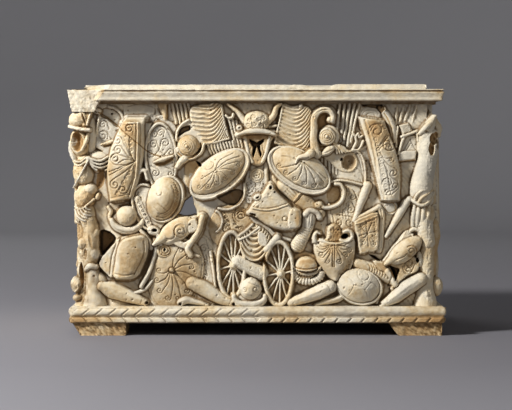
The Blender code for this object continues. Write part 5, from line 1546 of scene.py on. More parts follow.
def join_faces(faces):
    """Bring the columns that neighbouring faces share to one place."""
    left_end, left_corner, front, right_corner, right_end, back = faces
    for corner, edge, front_edge in ((left_corner, -1, 0), (right_corner, 0, -1)):
        shared = np.maximum(corner.w[:, edge] + CORNER_AXIS[1], front.w[:, front_edge])
        corner.w[:, edge], front.w[:, front_edge] = shared - CORNER_AXIS[1], shared
        front.shift[:, front_edge] = 0
    step = SIDE_START - CORNER_AXIS[0]
    for corner, edge, end, end_edge in ((left_corner, 0, left_end, -1),
            (right_corner, -1, right_end, 0)):
        shared = np.maximum(corner.w[::2, edge], end.w[:, end_edge] / end.scale + step)
        corner.w[::2, edge], end.w[:, end_edge] = shared, (shared - step) * end.scale
        corner.w[1::2, edge] = (shared[1:] + shared[:-1]) / 2
        end.shift[:, end_edge] = 0
    for face, edge in ((left_end, 0), (right_end, -1), (back, 0), (back, -1)):
        face.w[:, edge] = 0
        face.shift[:, edge] = 0


# Meshes

def add_object(name, data):
    thing = bpy.data.objects.new(name, data)
    bpy.context.collection.objects.link(thing)
    return thing


def plain_mesh(name, points, faces, edges=(), smooth=True):
    """A mesh object from lists of points and faces."""
    mesh = bpy.data.meshes.new(name)
    mesh.from_pydata(points, edges, faces)
    mesh.polygons.foreach_set("use_smooth", [smooth] * len(mesh.polygons))
    return add_object(name, mesh)


def write_layer(mesh, label, values):
    """Store a value for each point, which the stone's colour is read from."""
    layer = mesh.attributes.new(label, "FLOAT", "POINT")
    layer.data.foreach_set("value", np.ascontiguousarray(values, dtype=np.float32))


def stone_mesh(name, points, quads, tone, dirt_and_shade, normals=None, smooth=True):
    """A piece of the chest from arrays of points and four-cornered faces; loose points are left out."""
    points = np.clip(points.reshape(-1, 3), np.array(LOW) + BOX_MARGIN, np.array(HIGH) - BOX_MARGIN)
    used, order = np.unique(quads, return_inverse=True)
    thing = plain_mesh(name, points[used].tolist(), order.reshape(quads.shape).tolist(),
        smooth=smooth)
    write_layer(thing.data, "tone", tone.ravel()[used])
    # This layer holds painted shade in hollows along with soiling.
    write_layer(thing.data, "dirt_and_shade", dirt_and_shade.ravel()[used])
    thing.data.update()
    if normals is not None:
        thing.data.normals_split_custom_set_from_vertices(normals.reshape(-1, 3)[used].tolist())
    return thing


def quads_between(index):
    """The four-cornered faces between neighbours in a table of point numbers."""
    corners = index[:-1, :-1], index[:-1, 1:], index[1:, 1:], index[1:, :-1]
    return np.stack([corner.ravel() for corner in corners], axis=1)


def grid_quads(rows, columns):
    return quads_between(np.arange(rows * columns).reshape(rows, columns))


def ring_quads(rows, count, closed):
    """The faces between rings of points, and from the last ring back to the first if closed."""
    index = np.arange(rows * count).reshape(rows, count)
    index = np.column_stack([index, index[:, :1]])
    if closed:
        index = np.vstack([index, index[:1]])
    return quads_between(index)


def sheet_normals(place):
    """The direction the carved skin faces at each point, from its neighbours."""
    normal = np.cross(np.gradient(place, axis=1), np.gradient(place, axis=0))
    return normal / np.maximum(np.linalg.norm(normal, axis=-1, keepdims=True), 1e-12)


def hollow_shade_and_dirt(face):
    """How dark the stone is made at each crossing: painted shade, with soiling, most where the stone
    around stands higher, and painted shade under the cornice and along the foot of the field.

    The heights of the ends and the back are reckoned for their shallower relief.
    """
    w = face.w / (1 if face.scale == 1 else DEPTH_STEPS / 14)
    near = max(1, int(round(1.3 / face.cell)))
    far = max(2, int(round(6.0 / face.cell)))
    # Painted shade, with soiling, where the stone lies below the stone close round it and further
    # round.
    close = np.clip((blur(w, near) - w - 0.05) / 0.8, 0, 1)
    wide = 0.30 * np.clip((blur(w, far) - w - 1.5) / 6.0, 0, 1)
    # Painted shade under the cornice's overhang and along the foot of the field.
    ledge = 0.35 * np.exp(-np.abs(face.up - FIELD_ROWS) / 5) + 0.30 * np.exp(-np.abs(face.up) / 4)
    return 1 - (1 - 0.75 * close) * (1 - wide) * (1 - ledge * (w < 12)) + face.shade_and_grime


def carved_meshes(faces):
    """The carved skins, in pieces that meet edge to edge."""
    places = [face.place() for face in faces]
    normals = [sheet_normals(place) for place in places]
    # Painted shade and soiling for each face.
    dirt_and_shade_maps = [hollow_shade_and_dirt(face) for face in faces]
    for a, b in ((1, 2), (2, 3)):
        places[a][:, -1] = places[b][:, 0] = (places[a][:, -1] + places[b][:, 0]) / 2
        normals[a][:, -1] = normals[b][:, 0] = normals[a][:, -1] + normals[b][:, 0]
        dirt_and_shade_maps[a][:, -1] = dirt_and_shade_maps[b][:, 0] = np.minimum(dirt_and_shade_maps[a][:, -1], dirt_and_shade_maps[b][:, 0])
    # The ends have half as many rows as the corners beside them.
    for corner, edge, end, end_edge in ((1, 0, 0, -1), (3, -1, 4, 0)):
        places[corner][::2, edge] = places[end][:, end_edge]
        places[corner][1::2, edge] = (places[end][1:, end_edge] + places[end][:-1, end_edge]) / 2
        both = normals[end][:, end_edge] + normals[corner][::2, edge]
        normals[end][:, end_edge] = normals[corner][::2, edge] = both
    things = []
    # The front and its corners are one sheet, cut into four strips.
    sheets = places, normals, dirt_and_shade_maps, [face.tone for face in faces], [face.w for face in faces]
    place, normal, dirt_and_shade, tone, depth = (
        np.concatenate([sheet[1], sheet[2][:, 1:], sheet[3][:, 1:]], axis=1) for sheet in sheets)
    quads = grid_quads(*depth.shape)
    outside_hole = depth.ravel()[quads].max(axis=1) > -WALL / FRONT_UNIT - 0.5
    columns = depth.shape[1]
    strip = (quads[:, 0] % columns) * 4 // columns
    for k, name in enumerate(("left", "inner_left", "inner_right", "right")):
        chosen = quads[(strip == k) & outside_hole]
        things.append(stone_mesh("front_carving_" + name, place, chosen, tone, dirt_and_shade, normal))
    for k, name in ((0, "left_end_carving"), (4, "right_end_carving"), (5, "back_carving")):
        face = faces[k]
        quads = grid_quads(*face.w.shape)
        quads = quads[face.w.ravel()[quads].max(axis=1) > -WALL / BACK_UNIT - 1.0]
        things.append(stone_mesh(name, places[k], quads, face.tone, dirt_and_shade_maps[k], normals[k]))
    return things


def ring_at(corners, counts, z):
    """A level ring of points at even steps along the four sides between its corners."""
    sides = []
    for k, count in enumerate(counts):
        start, end = np.array(corners[k]), np.array(corners[(k + 1) % 4])
        sides.append(start + (end - start) * (np.arange(count)[:, None] / count))
    level = np.vstack(sides)
    return np.column_stack([level, np.full(len(level), z)])


def ring_points(profile):
    """Rings round the block: each profile row is a height and the setbacks of ends, front and back."""
    counts = [int(length / RING_STEP) for length in (CHEST_LENGTH, CHEST_DEPTH)] * 2
    rings = []
    for z, side, front, back in profile:
        corners = [(LOW.x + side, LOW.y + front), (HIGH.x - side, LOW.y + front),
                   (HIGH.x - side, HIGH.y - back), (LOW.x + side, HIGH.y - back)]
        rings.append(ring_at(corners, counts, z))
    return np.array(rings)


def outward_of(points):
    """The direction away from the middle of the block at each point, square to its nearest side."""
    across = np.abs(points[..., 0]) - HIGH.x
    deep = np.abs(points[..., 1]) - HIGH.y
    share = 1 / (1 + np.exp(-(across - deep) / 0.004))
    out = np.zeros(points.shape)
    out[..., 0] = np.sign(points[..., 0]) * share
    out[..., 1] = np.sign(points[..., 1]) * (1 - share)
    return out


def torus_setback(z):
    """Setback of the garland's rounded upper half at a height."""
    turn = np.clip((z - BAND_TOP) / TORUS_HEIGHT, 0, 1)
    return TORUS_BULGE * (1 - np.sin(math.pi * turn))


def base_profile():
    """The base's section under its leaves: in from the underside, up the band and round the torus."""
    inside, band = 0.060, LEAF_BAND_SETBACK
    rows = [(FOOT_HEIGHT, inside), (FOOT_HEIGHT, 0.020), (FOOT_HEIGHT, band + 0.003)]
    rows += [(FOOT_HEIGHT + 0.0012 * k, band + LEAF_BED) for k in range(1, 8)]
    rows += [(BAND_TOP, band + 0.0022)]
    for turn in np.linspace(0.06, 0.94, 11):
        z = BAND_TOP + TORUS_HEIGHT * turn
        rows.append((z, torus_setback(z) + TORUS_BED))
    rows += [(BASE_TOP - 0.0004, TORUS_BULGE + 0.0016), (BASE_TOP, TORUS_BULGE + 0.003),
        (BASE_TOP, inside)]
    return [(z, setback, setback, setback) for z, setback in rows]


def base_stain(x, y, z):
    """How brown the base is: most on the lower band towards the ends of the front."""
    ends = np.clip((x - 0.17) / 0.05, 0, 1) + np.clip((-0.20 - x) / 0.06, 0, 1)
    return 0.5 * ends * (y < LOW.y + 0.02) * np.clip((BAND_TOP + 0.004 - z) / 0.006, 0, 1)


def base_moulding():
    """The moulded base under its garland, worn and chipped at its ends, and the block's underside."""
    points = ring_points(base_profile())
    x, y, z = np.moveaxis(points, -1, 0)
    shown = np.ones(len(points))
    shown[:2] = shown[-1] = 0
    rough = roughness_of(x * 160 + y * 140, z * 220, 61)
    large = roughness_of(x * 28, y * 28 + z * 30, 67)
    inset = 0.0002 + 0.0004 * rough + 0.0008 * np.clip(large, 0, 1)
    points = wear_base(points - outward_of(points) * (inset * shown[:, None])[..., None])
    tone = 0.32 + 0.25 * large + base_stain(*np.moveaxis(points, -1, 0))
    dirt_and_shade = np.clip(0.22 + 0.3 * rough, 0, 1)
    quads = ring_quads(len(points), points.shape[1], True)
    xs, ys = (np.linspace(-half + 0.055, half - 0.055, 19) for half in (HIGH.x, HIGH.y))
    under = np.array([(x, y, FOOT_HEIGHT) for y in ys for x in xs])
    quads = np.vstack([quads, grid_quads(len(ys), len(xs))[:, ::-1] + tone.size])
    points = np.vstack([points.reshape(-1, 3), under])
    tone, dirt_and_shade = (np.concatenate([values.ravel(), np.full(len(under),
        0.5)]) for values in (tone, dirt_and_shade))
    return stone_mesh("base_moulding", points, quads, tone, dirt_and_shade)


def wear_base(points):
    """Round off the chipped corners of the base's front."""
    x, y, z = points[..., 0].copy(), points[..., 1].copy(), points[..., 2]
    for side, reach in ((-1, 0.012), (1, 0.006)):
        off_x = side * x - (HIGH.x - reach)
        off_y = -y - (HIGH.y - reach)
        beyond = (off_x > 0) & (off_y > 0)
        distance = np.hypot(off_x, off_y)
        ragged = reach * (0.90 + 0.10 * roughness_of(x * 90 + y * 70, z * 120, 71))
        shrink = np.where(beyond & (distance > ragged), ragged / np.maximum(distance, 1e-9), 1)
        x = np.where(beyond, side * (HIGH.x - reach + off_x * shrink), x)
        y = np.where(beyond, -(HIGH.y - reach + off_y * shrink), y)
    return np.stack([x, y, z], axis=-1)


def leaf(low, high, slant, setback, crest):
    """One leaf of the garland, bent to the moulding it lies on; its length runs along X."""
    across, up = 8, 6
    points, dirt_and_shade = [], []
    for j in range(up + 1):
        t = j / up
        for i in range(across + 1):
            s = math.copysign(1 - (1 - abs(2 * i / across - 1)) ** 3.0, i - across / 2)
            swell = (1 - s ** 26) * (1 - (2 * t - 1) ** 20)
            z = low + (high - low) * t
            x = LEAF_STEP / 2 * 0.96 * s + slant * (t - 0.5)
            rise = crest * swell - 0.0009 * (1 - swell)
            vein = 0.0005 * math.exp(-(s * 4) ** 2)
            points.append((x, float(setback(z)) - rise + vein, z))
            # Painted shade in the cuts between the leaves, darkest where a leaf sinks to its bed.
            dirt_and_shade.append(1 - swell)
    thing = plain_mesh("leaf", points, grid_quads(up + 1, across + 1).tolist())
    write_layer(thing.data, "dirt_and_shade", dirt_and_shade)
    return thing


def add_node(tree, kind, settings=None, **links):
    """Add a node; each link gives an input a value or another node's output.

    An input goes by its name, or by n and its number.
    """
    node = tree.nodes.new(kind)
    for name, value in (settings or {}).items():
        setattr(node, name, value)
    for name, value in links.items():
        name = name.replace("_", " ")
        by_number = name[0] == "n" and name[1:].isdigit()
        socket = node.inputs[int(name[1:]) if by_number else name]
        if isinstance(value, bpy.types.NodeSocket):
            tree.links.new(value, socket)
        else:
            socket.default_value = value
    return node


def strung_along():
    """A node tool that sets a thing at even steps along the straight runs of a path."""
    tree = bpy.data.node_groups.new("strung_along", "GeometryNodeTree")
    for name, kind in (("Geometry", "Geometry"), ("Step", "Float"), ("Thing", "Object"),
            ("Stone", "Material")):
        tree.interface.new_socket(name, in_out="INPUT", socket_type="NodeSocket" + kind)
    tree.interface.new_socket("Geometry", in_out="OUTPUT", socket_type="NodeSocketGeometry")
    given = add_node(tree, "NodeGroupInput").outputs
    path = add_node(tree, "GeometryNodeMeshToCurve", Mesh=given["Geometry"])
    spots = add_node(tree, "GeometryNodeCurveToPoints", {"mode": "LENGTH"}, Curve=path.outputs["Curve"],
                     Length=given["Step"])
    turned = add_node(tree, "FunctionNodeAlignEulerToVector", {"axis": "X", "pivot_axis": "Z"},
                      Vector=spots.outputs["Tangent"])
    thing = add_node(tree, "GeometryNodeObjectInfo", Object=given["Thing"])
    copies = add_node(tree, "GeometryNodeInstanceOnPoints", Points=spots.outputs["Points"],
                      Instance=thing.outputs["Geometry"], Rotation=turned.outputs["Rotation"])
    real = add_node(tree, "GeometryNodeRealizeInstances", Geometry=copies.outputs["Instances"])
    stone = add_node(tree, "GeometryNodeSetMaterial", Geometry=real.outputs["Geometry"],
                     Material=given["Stone"])
    add_node(tree, "NodeGroupOutput", Geometry=stone.outputs["Geometry"])
    return tree


def half_sides(first):
    """The ends of a straight run along the first or the second half of each side, from the front."""
    ends = []
    for k, (cos, sin) in enumerate(((1, 0), (0, 1), (-1, 0), (0, -1))):
        along, deep = (HIGH.y, HIGH.x) if k % 2 else (HIGH.x, HIGH.y)
        run = (LEAFLESS - along, -LEAF_STEP / 2) if first else (LEAF_STEP / 2, along - LEAFLESS)
        ends += [(x * cos + deep * sin, x * sin - deep * cos, 0) for x in run]
    return ends


def string_leaves(tool, one, ends, stone):
    """Set copies of a leaf along the runs, and give their points, faces and painted shade as arrays."""
    runs = plain_mesh("runs", ends, [], [(k, k + 1) for k in range(0, len(ends), 2)])
    strung = runs.modifiers.new("strung_along", "NODES")
    strung.node_group = tool
    sockets = {item.name: item.identifier for item in tool.interface.items_tree if item.in_out ==
        "INPUT"}
    for name, value in (("Step", LEAF_STEP), ("Thing", one), ("Stone", stone)):
        strung[sockets[name]] = value
    seen = bpy.context.evaluated_depsgraph_get()
    result = bpy.data.meshes.new_from_object(runs.evaluated_get(seen))
    points = np.array([vertex.co for vertex in result.vertices])
    quads = np.array([list(face.vertices) for face in result.polygons])
    dirt_and_shade = np.array([value.value for value in result.attributes["dirt_and_shade"].data])
    bpy.data.objects.remove(runs)
    bpy.data.objects.remove(one)
    return points, quads, dirt_and_shade


def garland(stone):
    """Two bands of leaves on the base: the upper ones slant one way, the lower ones turn midway."""
    tool = strung_along()
    bands = (
        ("upper", BAND_TOP + 0.0002, BASE_TOP - 0.0010, 0.0185,
         lambda z: torus_setback(z) + TORUS_BED, 0.0011),
        ("lower", FOOT_HEIGHT + 0.0004, BAND_TOP - 0.0006, 0.0080,
         lambda z: LEAF_BAND_SETBACK + LEAF_BED, 0.0025))
    things = []
    for band, low, high, slant, setback, crest in bands:
        for half in ("first", "second"):
            lean = -slant if (band, half) == ("lower", "first") else slant
            one = leaf(low, high, lean, setback, crest)
            points, quads, dirt_and_shade = string_leaves(tool, one, half_sides(half == "first"), stone)
            things.append(worn_leaves("garland_" + band + "_" + half, points, quads, dirt_and_shade))
    return things


def worn_leaves(name, points, quads, dirt_and_shade):
    """The leaves, worn smooth on the right of the front and roughened elsewhere."""
    x, y, z = points.T
    worn = (y < LOW.y + 0.01) * (z > BAND_TOP) * np.clip((x + 0.02) / 0.06, 0, 1) * 0.0016
    inset = worn + 0.0004 + 0.0005 * roughness_of(x * 170 + y * 150, z * 200, 83)
    points = wear_base(points - outward_of(points) * inset[:, None])
    tone = 0.34 + 0.25 * roughness_of(x * 28, y * 28 + z * 30, 67) + base_stain(x, y, z)
    # The cuts between the leaves are darkened further as painted shade.
    return stone_mesh(name, points, quads, tone, np.clip(1.5 * dirt_and_shade + 0.05, 0, 1))


def foot(name, low, high, side):
    """One rough block foot between two corners; side is -1 on the left and 1 on the right."""
    cells = (36, 32, 9)
    points, quads = [], []
    for axis in range(3):
        a, b = (axis + 1) % 3, (axis + 2) % 3
        for end in (0, 1):
            faces = grid_quads(cells[b] + 1, cells[a] + 1) + len(points)
            quads.append(faces if end else faces[:, ::-1])
            for j in range(cells[b] + 1):
                for i in range(cells[a] + 1):
                    share = [0.0, 0.0, 0.0]
                    share[axis], share[a], share[b] = end, i / cells[a], j / cells[b]
                    points.append([low[k] + (high[k] - low[k]) * share[k] for k in range(3)])
    # The six sides share the points along their edges.
    points, joined = np.unique(np.round(points, 7), axis=0, return_inverse=True)
    quads = joined.reshape(-1)[np.vstack(quads)]
    low, high = np.array(low), np.array(high)
    place = (points - (low + high) / 2) / ((high - low) / 2)
    x, y, z = points.T
    rough = roughness_of(x * 110 + y * 90, z * 150 - y * 60, 91)
    pits = roughness_of(x * 300 + y * 210, z * 400 - y * 120, 93)
    pull = 0.0005 + 0.0013 * (rough + 1) + 0.0022 * (pits + 1)
    for k in (0, 1):
        points[:, k] -= np.sign(place[:, k]) * np.where(np.abs(place[:, k]) > 0.98, pull, 0)
    down = 1 - np.clip(points[:, 2] / FOOT_HEIGHT, 0, 1)
    inner = (1 - side * place[:, 0]) / 2
    points[:, 0] += inner * down * FOOT_SLANT if side > 0 else (1 - inner) * down * FOOT_WEAR
    # Darker in the pits, as painted shade and soiling.
    dirt_and_shade = np.clip(0.45 + 0.35 * rough + 1.3 * pits, 0, 1.15)
    return stone_mesh(name, points, quads, 0.80 + 0.2 * rough, dirt_and_shade)


def feet():
    things = []
    inset = LEAF_BAND_SETBACK + FOOT_SETBACK
    for x_name, side in (("left", -1), ("right", 1)):
        for y_name, far in (("front", -1), ("back", 1)):
            xs = sorted((side * (HIGH.x - inset), side * (HIGH.x - inset - FOOT_LENGTH)))
            ys = sorted((far * (HIGH.y - inset), far * (HIGH.y - inset - FOOT_WIDTH)))
            low, high = (xs[0], ys[0], 0.0), (xs[1], ys[1], FOOT_HEIGHT + 0.002)
            things.append(foot("foot_" + y_name + "_" + x_name, low, high, side))
    return things


def cornice_profile():
    """The cornice's section: out, up its strips, over the lid seat and down into the cavity."""
    inner = (CHEST_LENGTH / 2 - SIDE_GROUND + WALL, CHEST_DEPTH / 2 - FRONT_GROUND + WALL,
             CHEST_DEPTH / 2 - BACK_GROUND + WALL)
    under, edge = CORNICE_SETBACK + HOLLOW_REACH, CORNICE_SETBACK
    lip, seat = FIELD_TOP + FILLET_UNDER, CORNICE_SETBACK + LID_SEAT_SETBACK
    rows = [(FIELD_TOP - 0.016, *inner), (FIELD_TOP - 0.016, *[a - 0.010 for a in inner]),
            (FIELD_TOP, *[a - 0.014 for a in inner])]
    rows += [(FIELD_TOP + rise, under + 0.0015, under + 0.012, under)
             for rise in (0, 0.0006, FILLET_UNDER - 0.0005, FILLET_UNDER)]
    # From here on all four sides have one setback.
    level = [(lip, edge + 0.6 * HOLLOW_REACH + 0.0006)]
    level += [(lip + HOLLOW_HEIGHT * rise, edge + HOLLOW_REACH * (1 - reach))
              for rise, reach in ((0.01, 0.52), (0.07, 0.70), (0.16, 0.77), (0.26, 0.745), (0.38, 0.72),
                                  (0.52, 0.76), (0.68, 0.84), (0.84, 0.93), (1.0, 1.0))]
    level += [(GROOVE_BOTTOM + 0.0005, edge + 0.0014), (GROOVE_BOTTOM + GROOVE / 2, edge + GROOVE),
              (GROOVE_BOTTOM + GROOVE - 0.0004, edge + 0.0012), (GROOVE_BOTTOM + GROOVE, edge),
              (CORNICE_TOP - 0.0006, edge), (CORNICE_TOP, edge + 0.0008), (CORNICE_TOP, edge + 0.008),
              (CORNICE_TOP, edge + 0.016), (CORNICE_TOP, seat - 0.0005), (CORNICE_TOP + 0.001, seat),
              (CHEST_TOP - 0.001, seat), (CHEST_TOP, seat + 0.001)]
    rows += [(z, setback, setback, setback) for z, setback in level]
    rows += [(CHEST_TOP, *[seat + (a - seat) * share for a in inner]) for share in (0.35, 0.7)]
    return rows + [(CHEST_TOP, *[a - 0.001 for a in inner]), (CHEST_TOP - 0.001, *inner),
                   (CHEST_TOP - CAVITY_RIM, *inner)]


def cornice():
    """The cornice and the lid seat over it, with the broken front left corner."""
    points = ring_points(cornice_profile())
    x, y, z = np.moveaxis(points, -1, 0)
    rough = roughness_of(x * 170 + y * 150, z * 260, 101)
    large = roughness_of(x * 30, y * 30 + z * 35, 107)
    chips = np.clip(roughness_of(x * 70 + y * 60, z * 90, 103) - 0.52, 0, 1)
    at_edge = (z > CORNICE_TOP - 0.006) & (z < CORNICE_TOP + 0.0001)
    inset = 0.0003 + 0.0003 * rough + 0.007 * chips * at_edge
    shown = np.ones(len(points))
    shown[:4] = 0
    points = points - outward_of(points) * (inset * shown[:, None])[..., None]
    x, y, z = np.moveaxis(points, -1, 0)
    # The broken corner: two rough planes that lean back as they rise.
    rise = z - FIELD_TOP
    ragged = 0.0026 * roughness_of(x * 75 + z * 60, z * 95 - y * 80, 109, 4)
    side_plane = LOW.x + 0.042 + rise * 0.8 + ragged
    front_plane = LOW.y + 0.022 + rise * 0.45 + ragged
    lost = (x < side_plane) & (y < front_plane)
    to_side = lost & (side_plane - x < front_plane - y)
    x = np.where(to_side, side_plane, x)
    y = np.where(lost & ~to_side, front_plane, y)
    # The dip in the front rim of the lid seat, and the rim's worn left end.
    in_front = y < -FRONT_GROUND + WALL * 0.6
    dip = np.clip(np.minimum((x - 0.071) / 0.012, (0.122 - x) / 0.006), 0, 1) * in_front
    worn_end = np.clip((-0.238 - x) / 0.034, 0, 1) ** 2 * in_front
    floor = CHEST_TOP - 0.0008 - 0.0032 * dip - 0.0045 * worn_end + 0.0006 * rough
    floor = floor + 0.0008 * np.clip((x - 0.122) / 0.004, 0, 1)
    on_seat = z > CORNICE_TOP + 0.0004
    z = np.where(on_seat & (z > floor), floor, z)
    # The lid seat lies a little to the left on the cornice.
    seat_side = np.abs(x) > CHEST_LENGTH / 2 - CORNICE_SETBACK - LID_SEAT_SETBACK - 0.002
    x = np.where(on_seat & seat_side, x - 0.0045, x)
    # Soiling that varies over the stone, painted shade under the lip and in the groove, and brown stain
    # spots along the groove.
    rows = np.arange(len(points))[:, None]
    dirt_and_shade = np.clip(0.12 + 0.3 * rough, 0, 1) + 0.6 * ((rows > 1) & (rows < 8))
    dirt_and_shade = np.where((rows < 2) | (rows > len(points) - 4), 0.35, dirt_and_shade)
    edge = CORNICE_SETBACK + 0.001
    groove = (z > GROOVE_BOTTOM) & (z < CORNICE_TOP - FILLET_OVER)
    groove = groove & (np.abs(y) < HIGH.y - edge) & (np.abs(x) < HIGH.x - edge)
    spots = np.clip(roughness_of(x * 60 + y * 50, z * 30, 111) + 0.25, 0, 1)
    near_groove = np.exp(-((z - GROOVE_BOTTOM - 0.001) / 0.0022) ** 2)
    dirt_and_shade = np.clip(dirt_and_shade + groove * (0.3 + spots) + 0.8 * near_groove * spots ** 2, 0, 1)
    tone = 0.22 + 0.2 * large + 0.25 * lost + 0.35 * near_groove * np.clip(0.4 + x * 3, 0, 1)
    quads = ring_quads(len(points), points.shape[1], True)
    return stone_mesh("cornice", np.stack([x, y, z], axis=-1), quads, tone, dirt_and_shade)


def corner_stump():
    """Rough stone left where the corner of the cornice and its block broke away."""
    low, high = FIELD_TOP - 0.012, CORNICE_TOP - 0.0004
    block_corner = np.array((LOW.x, LOW.y))
    lower = block_corner + [(0.006, 0.010), (0.043, 0.010), (0.045, 0.070), (0.006, 0.070)]
    upper = block_corner + [(-0.001, 0.013), (0.062, 0.012), (0.062, 0.070), (-0.001, 0.070)]
    rows = 30
    points = []
    for t in np.arange(rows + 1) / rows:
        points.append(ring_at(lower * (1 - t) + upper * t, [42] * 4, low + (high - low) * t))
    for share in (0.8, 0.55, 0.3, 0.05):
        top = points[rows].copy()
        middle = top[:, :2].mean(axis=0)
        top[:, :2] = middle + (top[:, :2] - middle) * share
        points.append(top)
    points = np.array(points)
    x, y, z = np.moveaxis(points.copy(), -1, 0)
    rough = roughness_of(x * 90 + z * 70, y * 90 + z * 50, 113, 4)
    pits = roughness_of(x * 260 + y * 150, z * 300 + y * 90, 117)
    out = points[..., :2] - points[..., :2].mean(axis=(0, 1))
    out = out / np.maximum(np.linalg.norm(out, axis=-1, keepdims=True), 1e-9)
    points[..., :2] -= out * (0.0018 + 0.0028 * rough + 0.0011 * pits)[..., None]
    points[..., 2] -= 0.0010 * (1 + rough) * (z > high - 0.002)
    quads = ring_quads(len(points), points.shape[1], False)
    return stone_mesh("corner_stump", points, quads, 0.3 + 0.2 * rough,
        np.clip(0.2 + 0.4 * rough, 0, 1))


def cavity():
    """The hollow for the ashes: four walls and a floor, with the break through front and back."""
    inner_x = SIDE_GROUND - WALL
    near, far = -(FRONT_GROUND - WALL), BACK_GROUND - WALL
    plain = np.linspace(0, 1, 15)
    heights = np.linspace(CAVITY_FLOOR, CHEST_TOP - CAVITY_RIM, 9)
    # Closer steps where the break comes through.
    fine = np.sort(np.concatenate([plain, np.linspace(0.20, 0.46, 80)]))
    fine_heights = np.sort(np.concatenate([heights, np.linspace(0.150, 0.240, 56)]))
    walls = (((inner_x, near), (-inner_x, near), 1 - fine[::-1], fine_heights, HOLE),
             ((-inner_x, far), (inner_x, far), fine, fine_heights, back_hole()),
             ((-inner_x, near), (-inner_x, far), plain, heights, None),
             ((inner_x, far), (inner_x, near), plain, heights, None))
    points, quads, count = [], [], 0
    for start, end, lines, levels, hole in walls:
        start, end = np.array(start), np.array(end)
        grid = np.array([(*(start + (end - start) * s), z) for z in levels for s in lines])
        faces = grid_quads(len(levels), len(lines))
        if hole is not None:
            middle = grid[faces].mean(axis=1)
            gap = to_outline(middle[:, 0] / COLUMN, (middle[:, 2] - BASE_TOP) / ROW,
                np.asarray(hole, float))
            faces = faces[gap > 0.3]
        points.append(grid)
        quads.append(faces + count)
        count += len(grid)
    xs, ys = np.linspace(-inner_x, inner_x, 15), np.linspace(near, far, 13)
    points = np.vstack(points + [np.array([(x, y, CAVITY_FLOOR) for y in ys for x in xs])])
    quads = np.vstack(quads + [grid_quads(len(ys), len(xs)) + count])
    rough = roughness_of(points[:, 0] * 40 + points[:, 2] * 30, points[:, 1] * 40, 121)
    dirt_and_shade = np.clip(0.35 + 0.3 * rough, 0, 1)
    return stone_mesh("cavity", points, quads, 0.4 + 0.2 * rough, dirt_and_shade, smooth=False)


# Stone, floor and light

def linear(code):
    """A hex sRGB colour as linear values, opaque."""
    parts = [int(code[k:k + 2], 16) / 255 for k in (1, 3, 5)]
    return tuple(c / 12.92 if c <= 0.04045 else ((c + 0.055) / 1.055) ** 2.4 for c in parts) + (1.0,)


def new_material(name):
    material = bpy.data.materials.new(name)
    material.use_nodes = True
    material.node_tree.nodes.clear()
    return material, material.node_tree


def aged_marble():
    """Fine white marble gone cream and ochre with age, with brown soiling and painted shade in its
    drilled hollows.

    Its worn polish gives soft, broad highlights.
    """
    material, tree = new_material("aged_marble")
    place = add_node(tree, "ShaderNodeTexCoord").outputs["Object"]
    tone = add_node(tree, "ShaderNodeAttribute", {"attribute_name": "tone"}).outputs["Fac"]
    dirt_and_shade = add_node(tree, "ShaderNodeAttribute", {"attribute_name": "dirt_and_shade"}).outputs["Fac"]
    scaled = {"operation": "MULTIPLY_ADD"}
    # Warm and grey clouds about 40 mm across, and finer mottling of 6 mm.
    for scale, detail, amount in ((26.0, 4.0, 0.9), (160.0, 3.0, 0.5)):
        noise = add_node(tree, "ShaderNodeTexNoise", Vector=place, Scale=scale, Detail=detail)
        shifted = add_node(tree, "ShaderNodeMath", scaled, n0=noise.outputs["Fac"], n1=amount,
            n2=-amount / 2)
        tone = add_node(tree, "ShaderNodeMath", {"operation": "ADD"}, n0=tone,
            n1=shifted.outputs[0]).outputs[0]
    ramp = add_node(tree, "ShaderNodeValToRGB", n0=tone)
    stops = ((GREY, "#c6beac"), (PALE, "#ddd2ba"), (CREAM, "#d9c7a4"), (TAN, "#c9ad80"),
        (OCHRE, "#b08a58"))
    while len(ramp.color_ramp.elements) < len(stops):
        ramp.color_ramp.elements.new(0.5)
    for stop, (at, code) in zip(ramp.color_ramp.elements, stops):
        stop.position = at
        stop.color = linear(code)
    colour = ramp.outputs["Color"]
    # Brown for soiling and painted shade in hollows, then near black painted shade, with soiling, in
    # the deepest holes.
    for least, most, cover, code in ((0.08, 0.8, 0.92, "#7b5f38"), (1.0, 1.6, 0.95, "#2c1f0f")):
        share = add_node(tree, "ShaderNodeMapRange", Value=dirt_and_shade, n1=least, n2=most, n3=0.0, n4=cover)
        colour = add_node(tree, "ShaderNodeMix", {"data_type": "RGBA"}, n0=share.outputs[0], n6=colour,
                          n7=linear(code)).outputs[2]
    # Crystals and weathering under a millimetre, and shallow tool marks of 3 mm.
    grain = add_node(tree, "ShaderNodeTexNoise", Vector=place, Scale=1400.0, Detail=3.0)
    marks = add_node(tree, "ShaderNodeTexNoise", Vector=place, Scale=320.0, Detail=2.0)
    height = add_node(tree, "ShaderNodeMath", scaled, n0=marks.outputs["Fac"], n1=1.6,
        n2=grain.outputs["Fac"])
    bump = add_node(tree, "ShaderNodeBump", Height=height.outputs[0], Strength=0.5, Distance=0.0008)
    shader = add_node(tree, "ShaderNodeBsdfPrincipled", Base_Color=colour,
        Normal=bump.outputs["Normal"])
    shader.inputs["Roughness"].default_value = 0.62
    shader.inputs["Specular IOR Level"].default_value = 0.35
    add_node(tree, "ShaderNodeOutputMaterial", Surface=shader.outputs["BSDF"])
    return material


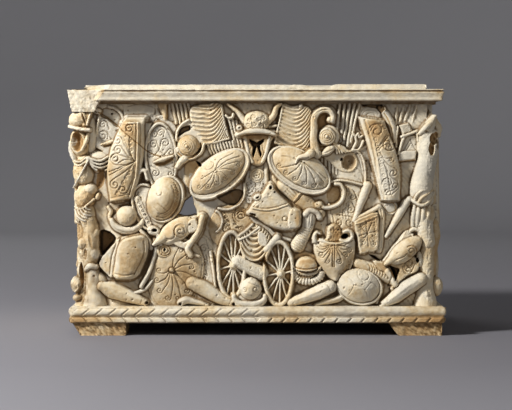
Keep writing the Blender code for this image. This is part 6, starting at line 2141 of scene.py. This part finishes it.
def studio_paper():
    """Matt grey studio paper, painted darker round the chest and lighter far off, as painted light that
    makes up for the lamps' fall-off.
    """
    material, tree = new_material("studio_paper")
    place = add_node(tree, "ShaderNodeTexCoord").outputs["Object"]
    away = add_node(tree, "ShaderNodeVectorMath", {"operation": "LENGTH"}, n0=place).outputs["Value"]
    # Painted light: the paper is lighter far off, where the lamps light it less.
    share = add_node(tree, "ShaderNodeMapRange", Value=away, n1=0.7, n2=3.4, n3=0.0, n4=1.0)
    colour = add_node(tree, "ShaderNodeMix", {"data_type": "RGBA"}, n0=share.outputs[0],
                      n6=linear("#7a787d"), n7=linear("#9e9da0"))
    shader = add_node(tree, "ShaderNodeBsdfPrincipled", Base_Color=colour.outputs[2])
    shader.inputs["Roughness"].default_value = 0.8
    add_node(tree, "ShaderNodeOutputMaterial", Surface=shader.outputs["BSDF"])
    return material


def lay_floor():
    """A round floor that curves up into the backdrop."""
    bends = np.linspace(0, math.pi / 2, 17)
    profile = [(0.01, 0.0), (1.5, 0.0)] + [(3.4 + math.sin(t), 1 - math.cos(t)) for t
        in bends] + [(4.4, 5.0)]
    turns = np.arange(96) * 2 * math.pi / 96
    points = [(r * math.cos(turn), r * math.sin(turn), z) for r, z in profile for turn in turns]
    faces = ring_quads(len(profile), len(turns), False)[:, ::-1].tolist() + [list(range(len(turns)))]
    floor = plain_mesh("floor", points, faces)
    floor.data.materials.append(studio_paper())


def aim(thing, at, target):
    thing.location = at
    thing.rotation_euler = (Vector(target) - Vector(at)).to_track_quat("-Z", "Y").to_euler()


def lights():
    """A small key from the upper left, a weak fill, one behind and a dim room round them."""
    for name, at, power, size in (
            ("key", (-2.0, -1.5, 1.75), 125, 0.5), ("fill", (1.8, -2.8, 1.0), 12, 2.0),
            ("back", (-1.2, 2.8, 2.2), 18, 1.6)):
        light = bpy.data.lights.new(name, "AREA")
        light.energy = power
        light.size = size
        aim(add_object(name, light), at, (0, 0, 0.2))
    world = bpy.data.worlds.new("studio")
    world.use_nodes = True
    room = world.node_tree.nodes["Background"].inputs
    room["Color"].default_value = linear("#b8b8bc")
    room["Strength"].default_value = 0.12
    bpy.context.scene.world = world
    bpy.context.scene.view_settings.view_transform = "Standard"


def camera():
    lens = bpy.data.cameras.new("camera")
    lens.sensor_width = 36
    lens.lens = 134
    thing = add_object("camera", lens)
    aim(thing, (-0.002, -3.225, 0.30), (-0.002, -0.225, 0.207))
    bpy.context.scene.camera = thing


marble = aged_marble()
carved = carved_faces()
join_faces(carved)
pieces = carved_meshes(carved)
pieces += [base_moulding(), cornice(), corner_stump(), cavity()] + feet() + garland(marble)
for piece in pieces:
    piece.data.materials.clear()
    piece.data.materials.append(marble)
    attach(piece, "root")
    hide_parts(CHEST)
lay_floor()
lights()
camera()

bpy.context.view_layer.update()
